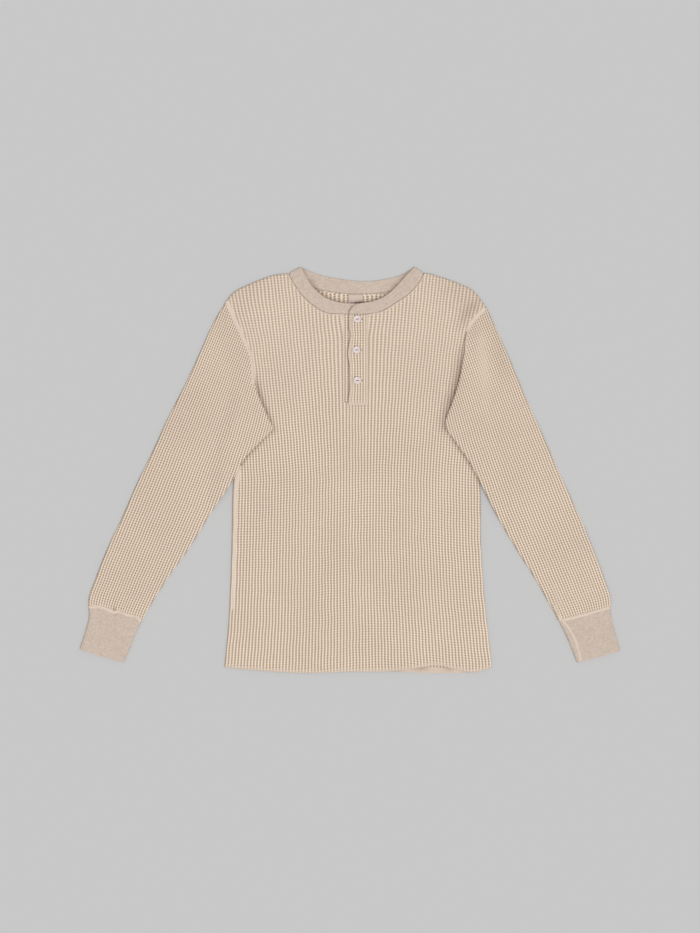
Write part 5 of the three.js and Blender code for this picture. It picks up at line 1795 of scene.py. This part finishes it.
def stitches(name, rows, material, **values):
    """Stitches along rows of points, which are in millimetres on the pattern."""
    mesh = bpy.data.meshes.new(name)
    points = (np.vstack(rows) + MOVED) * MM
    starts = np.cumsum([0] + [len(row) for row in rows])
    edges = [(k, k + 1) for low, high in zip(starts, starts[1:]) for k in range(low, high - 1)]
    mesh.from_pydata(points.tolist(), edges, [])
    made = placed_object(name, mesh)
    modifier = made.modifiers.new("stitches", "NODES")
    modifier.node_group = stitch_tree
    settings = {"Thread": material, **values}
    for item in stitch_tree.interface.items_tree:
        if item.in_out == "INPUT" and item.name in settings:
            modifier[item.identifier] = settings[item.name]
    result = bpy.data.meshes.new_from_object(made.evaluated_get(bpy.context.evaluated_depsgraph_get()))
    made.modifiers.remove(modifier)
    made.data = result
    print(f"{name}: {len(rows)} rows, {len(result.polygons)} faces")
    return made


def row_on(height, path, lift=0.12, even=2):
    path = spaced(np.asarray(path, float), 1.0)
    return np.column_stack([path, evened(completed(height(path)), even) + lift])


# %% Bands over the seams of the sleeves, the side and the cuffs
over_left, over_right = surface_of(front_piece, sleeve_left), surface_of(front_piece, sleeve_right)
over_front = surface_of(front_piece)
CUFF_SIDE_RIGHT = (
    (346, -229), (352.5, -244), (359.4, -255), (370.5, -267), (381.5, -287), (388, -308), (392.4, -324)
)
ACROSS_BAND = 0.86
# Columns: the path, less its hidden ends, the width, the rise and the rule for what it lies on
BANDS = {
    "seam_armhole_left": (shifted(smooth_line(ARMHOLE_LEFT[:6]), -0.6)[2:], (8.0, 5.5), 0.5, over_left),
    "seam_armhole_right": (smooth_line(ARMHOLE_RIGHT[:5])[2:-20], (7.5, 5.0), 0.5, over_right),
    "seam_side_left": (shifted(smooth_line(SIDE_LEFT), 5.2)[8:44], (11.0, 2.0), 0.35, over_front),
    "seam_cuff_left": (end_left[2:-2] + (0, 0.6), 4.8, 0.45, surface_of(sleeve_left, cuff_left)),
    "seam_cuff_right": (end_right[2:-2] + (0, 0.6), 4.8, 0.45, surface_of(sleeve_right, cuff_right)),
    "seam_cuff_side_right": (CUFF_SIDE_RIGHT, 4.2, 0.9, surface_of(sleeve_right, cuff_right)),
}
bands = {name: seam_band(name, *settings) for name, settings in BANDS.items()}
for name, (path, width, *_) in BANDS.items():
    middle = spaced(smooth_line(path), BAND_STEP)[3:-3]
    row = np.column_stack([middle, completed(surface_of(bands[name])(middle))])
    wide = np.mean(width) * MM
    bands[f"stitches_{name}"] = stitches(
        f"stitches_{name}", [row], thread, Spacing=0.0019, Length=ACROSS_BAND * wide, Thickness=0.00042,
        Turn=math.pi / 2,
    )

# %% Rows of stitches
COLLAR_ROWS = SimpleNamespace(
    free=4.0, seam=3.9, inner_seam=3.0, level=0.76, lift=0.12, raised=(0, 0, 0.1)
)
HEM_ROWS = SimpleNamespace(upper=4.6, apart=2.4, back=3.4)
LABEL_ROW = (1.2, 1.3)
# Columns: share across the upper strip, where the row starts above its foot
UP_ROWS = ((STITCH_FROM_FREE / over_wide, 4.5), (1 - STITCH_FROM_SEAM / over_wide, 2.5))
# Columns: share across at which the row starts, height above the foot
ACROSS_ROWS = ((0.08, 4.8), (0.05, 1.8))
ACROSS_END = 0.93
# How far the middle of a stitch lies over the surface below it
ON_STRIP, ON_HEM = 0.05, 0.08

on_over, on_collar, on_label = surface_of(placket_over), surface_of(collar_piece), surface_of(label_piece)
over_rows = [
    strip_place(np.full(60, share), np.linspace(OVER_STRIP.foot + start, OVER_STRIP.top - 1, 60))
    for share, start in UP_ROWS
]
over_rows += [
    strip_place(np.linspace(start, ACROSS_END, 30), np.full(30, OVER_STRIP.foot + up))
    for start, up in ACROSS_ROWS
]
over_rows = [row_on(on_over, row, ON_STRIP) for row in over_rows]
placket_stitches = stitches("stitches_placket", over_rows, thread)


def collar_row(rows, from_free=None, from_seam=None):
    """A row of points on the collar's face, at a distance from one of its edges."""
    free, seam, face = rows.transpose(1, 0, 2)
    width = np.linalg.norm(seam - free, axis=1)[:, None]
    share = from_free / width if from_free is not None else 1 - from_seam / width
    up = np.sign(face[:, 2:])
    lift = np.array([0, 0, 1]) * up * COLLAR_ROWS.level * COLLAR_WALL / 2
    return free + share * (seam - free) + lift + (0, 0, COLLAR_ROWS.lift) * up


faces_up = collar_rows[:, 2, 2] > 0.99
faces_down = collar_rows[:, 2, 2] < -0.99
change, number = int(np.flatnonzero(faces_down)[0]), np.arange(len(collar_rows))
front_parts = [collar_rows[faces_up & side][1:-2] for side in (number < change, number > change)]
collar_lines = [collar_row(part, from_free=COLLAR_ROWS.free) for part in front_parts]
collar_lines += [collar_row(part, from_seam=COLLAR_ROWS.seam) + COLLAR_ROWS.raised for part in front_parts]
collar_stitches = stitches("stitches_collar", collar_lines, thread, Spacing=0.0025, Length=0.0019)
inside = collar_rows[faces_down]
inside_lines = [collar_row(inside, COLLAR_ROWS.free), collar_row(inside, from_seam=COLLAR_ROWS.inner_seam)]
inside_rows = [row_on(on_collar, line[:, :2]) for line in inside_lines]
inside_stitches = stitches("stitches_neck", inside_rows, thread, Spacing=0.0025, Length=0.0019)
hem_line = shifted(smooth_line(HEM_FRONT), HEM_ROWS.upper)[1:-1]
hem_rows = [row_on(over_front, hem_line + (0, down), ON_HEM) for down in (0, -HEM_ROWS.apart)]
hem_stitches = stitches("stitches_hem", hem_rows, thread, Spacing=0.0027, Length=0.0021)
inner_line = shifted(smooth_line(HEM_BACK), HEM_ROWS.back)[1:-1]
inner_hem = [row_on(surface_of(back_piece), inner_line, ON_HEM)]
inner_hem_stitches = stitches("stitches_hem_back", inner_hem, thread, Spacing=0.0027, Length=0.0021)
inset, below = LABEL_ROW
label_line = np.array([(LABEL.left + inset, LABEL.top - below), (LABEL.right - inset, LABEL.top - below)])
label_rows = [row_on(on_label, label_line)]
label_stitches = stitches("stitches_label", label_rows, thread, Spacing=0.002, Length=0.0015)

# %% Buttonholes and the thread in the buttons
HOLE_STITCH = SimpleNamespace(left=-6.2, right=9.2, beside=1.4, bar=9.9, bar_half=1.6)
# Columns: place along the button's hollow, rise of the thread
KNOT_LINE = ((-1.9, 0), (0, 0.12), (1.9, 0))
KNOT = SimpleNamespace(beside=0.24, sunk=0.42)
# The tack is a short bar of the darker thread at each buttonhole's end, a painted shade for the shade in the
# hole's end
TACK = SimpleNamespace(ends=(6.6, 9.0), beside=0.3, sunk=0.5)

hole_rows, knots = [], {}
for name, (x, y) in BUTTONS.items():
    for side in (-HOLE_STITCH.beside, HOLE_STITCH.beside):
        line = np.array([(x + HOLE_STITCH.left, y + side), (x + HOLE_STITCH.right, y + side)])
        hole_rows.append(row_on(on_over, line, 0.1, 3))
    bar = [(x + HOLE_STITCH.bar, y + side) for side in (-HOLE_STITCH.bar_half, HOLE_STITCH.bar_half)]
    hole_rows.append(row_on(on_over, bar, 0.12, 1))
    level = OVER_TOP + BUTTON.clearance + BUTTON_DISH * BUTTON.height - KNOT.sunk
    rows = [
        np.array([(x + far, y + side, level + rise) for far, rise in KNOT_LINE])
        for side in (-KNOT.beside, KNOT.beside)
    ]
    rows += [
        np.array([(x + far, y + side, OVER_TOP - TACK.sunk) for far in TACK.ends])
        for side in (-TACK.beside, TACK.beside)
    ]
    # The knots in the button's eye take the darker thread, partly painted shade for the shade in the eye
    knots[name] = stitches(
        f"stitches_{name}", rows, thread_with_painted_shade, Spacing=0.0019, Length=0.0026, Thickness=0.00055
    )
hole_stitches = stitches(
    "stitches_buttonholes", hole_rows, thread, Spacing=0.0008, Length=0.0013, Thickness=0.0005,
    Turn=math.pi / 2,
)

# %% [markdown]
# ## What each piece stands for
# Every piece rides on the one body of the part and takes the place of a solid of the same name. The
# trimmings are listed under the piece that they are sewn to, and ride on the same body.

# %% Put each piece on the body and hide its solid
PIECES = {
    "front": (front_piece, "waffle_knit"),
    "back": (back_piece, "waffle_knit"),
    "sleeve_left": (sleeve_left, "waffle_knit"),
    "sleeve_right": (sleeve_right, "waffle_knit"),
    "cuff_left": (cuff_left, "plain_knit"),
    "cuff_right": (cuff_right, "plain_knit"),
    "collar": (collar_piece, "plain_knit"),
    # Most of this strip is hidden and plain, so it has the plain slot
    "placket_under": (placket_under, "plain_knit"),
    "placket_over": (placket_over, "waffle_knit"),
    "label": (label_piece, "label_tape"),
    **{name: (piece, "button") for name, piece in buttons.items()},
}
for name, (piece, slot) in PIECES.items():
    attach(piece, "root")
    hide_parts(name)
TRIMMINGS = {
    "front": [bands["seam_side_left"], bands["stitches_seam_side_left"], hem_stitches],
    "back": [inner_hem_stitches],
    "sleeve_left": [bands["seam_armhole_left"], bands["stitches_seam_armhole_left"]],
    "sleeve_right": [bands["seam_armhole_right"], bands["stitches_seam_armhole_right"]],
    "cuff_left": [bands[name] for name in bands if name.endswith("seam_cuff_left")],
    "cuff_right": [bands[name] for name in bands if name.endswith(("seam_cuff_right", "cuff_side_right"))],
    "collar": [collar_stitches, inside_stitches],
    "placket_over": [placket_stitches, hole_stitches],
    "label": [label_stitches],
}
for name, trimmings in TRIMMINGS.items():
    for trimming in trimmings:
        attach(trimming, "root")
for knot in knots.values():
    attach(knot, "root")
print("pieces:", len(PIECES), "with", sum(map(len, TRIMMINGS.values())) + len(knots), "trimmings")

# %% Work out the area of each piece of cloth as cut
def tube_outline(table, mouth, end):
    outer, inner = smooth_line(table[:, :2]), smooth_line(table[:, 2:4])
    return np.vstack([mouth, inner[1:-1], end[::-1], outer[::-1][1:-1]])


def box_outline(wide, high):
    return np.array([(0, 0), (wide, 0), (wide, high), (0, high)])


def flat_piece(name, outline, layers=1):
    """Works out the area of the cut of what shows; a tube is cut for both of its layers."""
    area = area_of(outline) * MM * MM * layers
    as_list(TRIMMINGS.get(name, []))


def tube_piece(name, table, mouth, end):
    """A tube is measured along its own length, and not by the box round its slanting outline."""
    outline = tube_outline(table, mouth, end)
    heading = unit(end.mean(0) - mouth.mean(0))
    turned = np.column_stack([outline @ (heading[1], -heading[0]), outline @ heading])
    flat_piece(name, turned, 2)


flat_piece("front", front_outline)
flat_piece("back", back_outline)
tube_piece("sleeve_left", SLEEVE_LEFT, mouth_left, end_left)
tube_piece("sleeve_right", SLEEVE_RIGHT, mouth_right, end_right)
tube_piece("cuff_left", CUFF_LEFT, end_left, smooth_line(CUFF_LEFT[-1, :4].reshape(2, 2)))
tube_piece("cuff_right", CUFF_RIGHT, end_right, smooth_line(CUFF_RIGHT[-1, :4].reshape(2, 2)))
collar_long = run_of(collar_rows[:, :2].mean(1))[-1]
collar_wide = np.linalg.norm(collar_rows[:, 1] - collar_rows[:, 0], axis=1).mean()
flat_piece("collar", box_outline(collar_long, collar_wide))
flat_piece("placket_over", box_outline(over_wide, over_high))
under_high = round(PLACKET.top - PLACKET.foot - SEAM_GAP, 1)
flat_piece("placket_under", box_outline(under_wide, under_high))
flat_piece("label", box_outline(label_wide, round(LABEL.top - LABEL.foot, 1)))

# %% [markdown]
# ## The stage
# A plain pale floor and soft light, as in a small studio: one large lamp overhead and a bright room
# around. The lamp stands a little to the lower right, so that ribs and seams keep a soft shadow on
# their upper left. The floor is a tenth of a millimetre lower than the shirt, because two faces in
# one place flicker in a render from below.

# %% Floor and light
FLOOR_COLOUR = screen(200, 200, 200)
FLOOR_LEVEL = -0.1 * MM
FLOOR_REACH = 3
LIGHT_FALLS = (-0.22, 0.24, -1.0)
LAMP_STRENGTH = 1.64
LAMP_ANGLE = 0.6
ROOM_STRENGTH = 0.5

floor_mesh = bpy.data.meshes.new("floor")
corners = [(x * FLOOR_REACH, y * FLOOR_REACH, FLOOR_LEVEL) for x, y in ((-1, -1), (1, -1), (1, 1), (-1, 1))]
floor_mesh.from_pydata(corners, [], [(0, 1, 2, 3)])
floor = placed_object("floor", floor_mesh)
floor_material, tree, shader = new_material("floor", roughness=0.95)
shader.inputs["Base Color"].default_value = FLOOR_COLOUR
floor_mesh.materials.append(floor_material)
floor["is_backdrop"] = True

sun_data = bpy.data.lights.new("lamp", "SUN")
sun_data.energy = LAMP_STRENGTH
sun_data.angle = LAMP_ANGLE
sun = placed_object("lamp", sun_data)
sun.rotation_euler = Vector(LIGHT_FALLS).to_track_quat("-Z", "Y").to_euler()
world = bpy.data.worlds.new("room")
world.use_nodes = True
world.node_tree.nodes["Background"].inputs["Color"].default_value = (1, 1, 1, 1)
world.node_tree.nodes["Background"].inputs["Strength"].default_value = ROOM_STRENGTH
bpy.context.scene.world = world
bpy.context.scene.view_settings.view_transform = "Standard"

# %% Sizes of the solids and of the pieces, and the end
low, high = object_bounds()
sizes = {"cad": [list(cad_low), list(cad_high)], "visual": [list(low), list(high)]}
print("visual box:", [round(side, 4) for side in high - low])
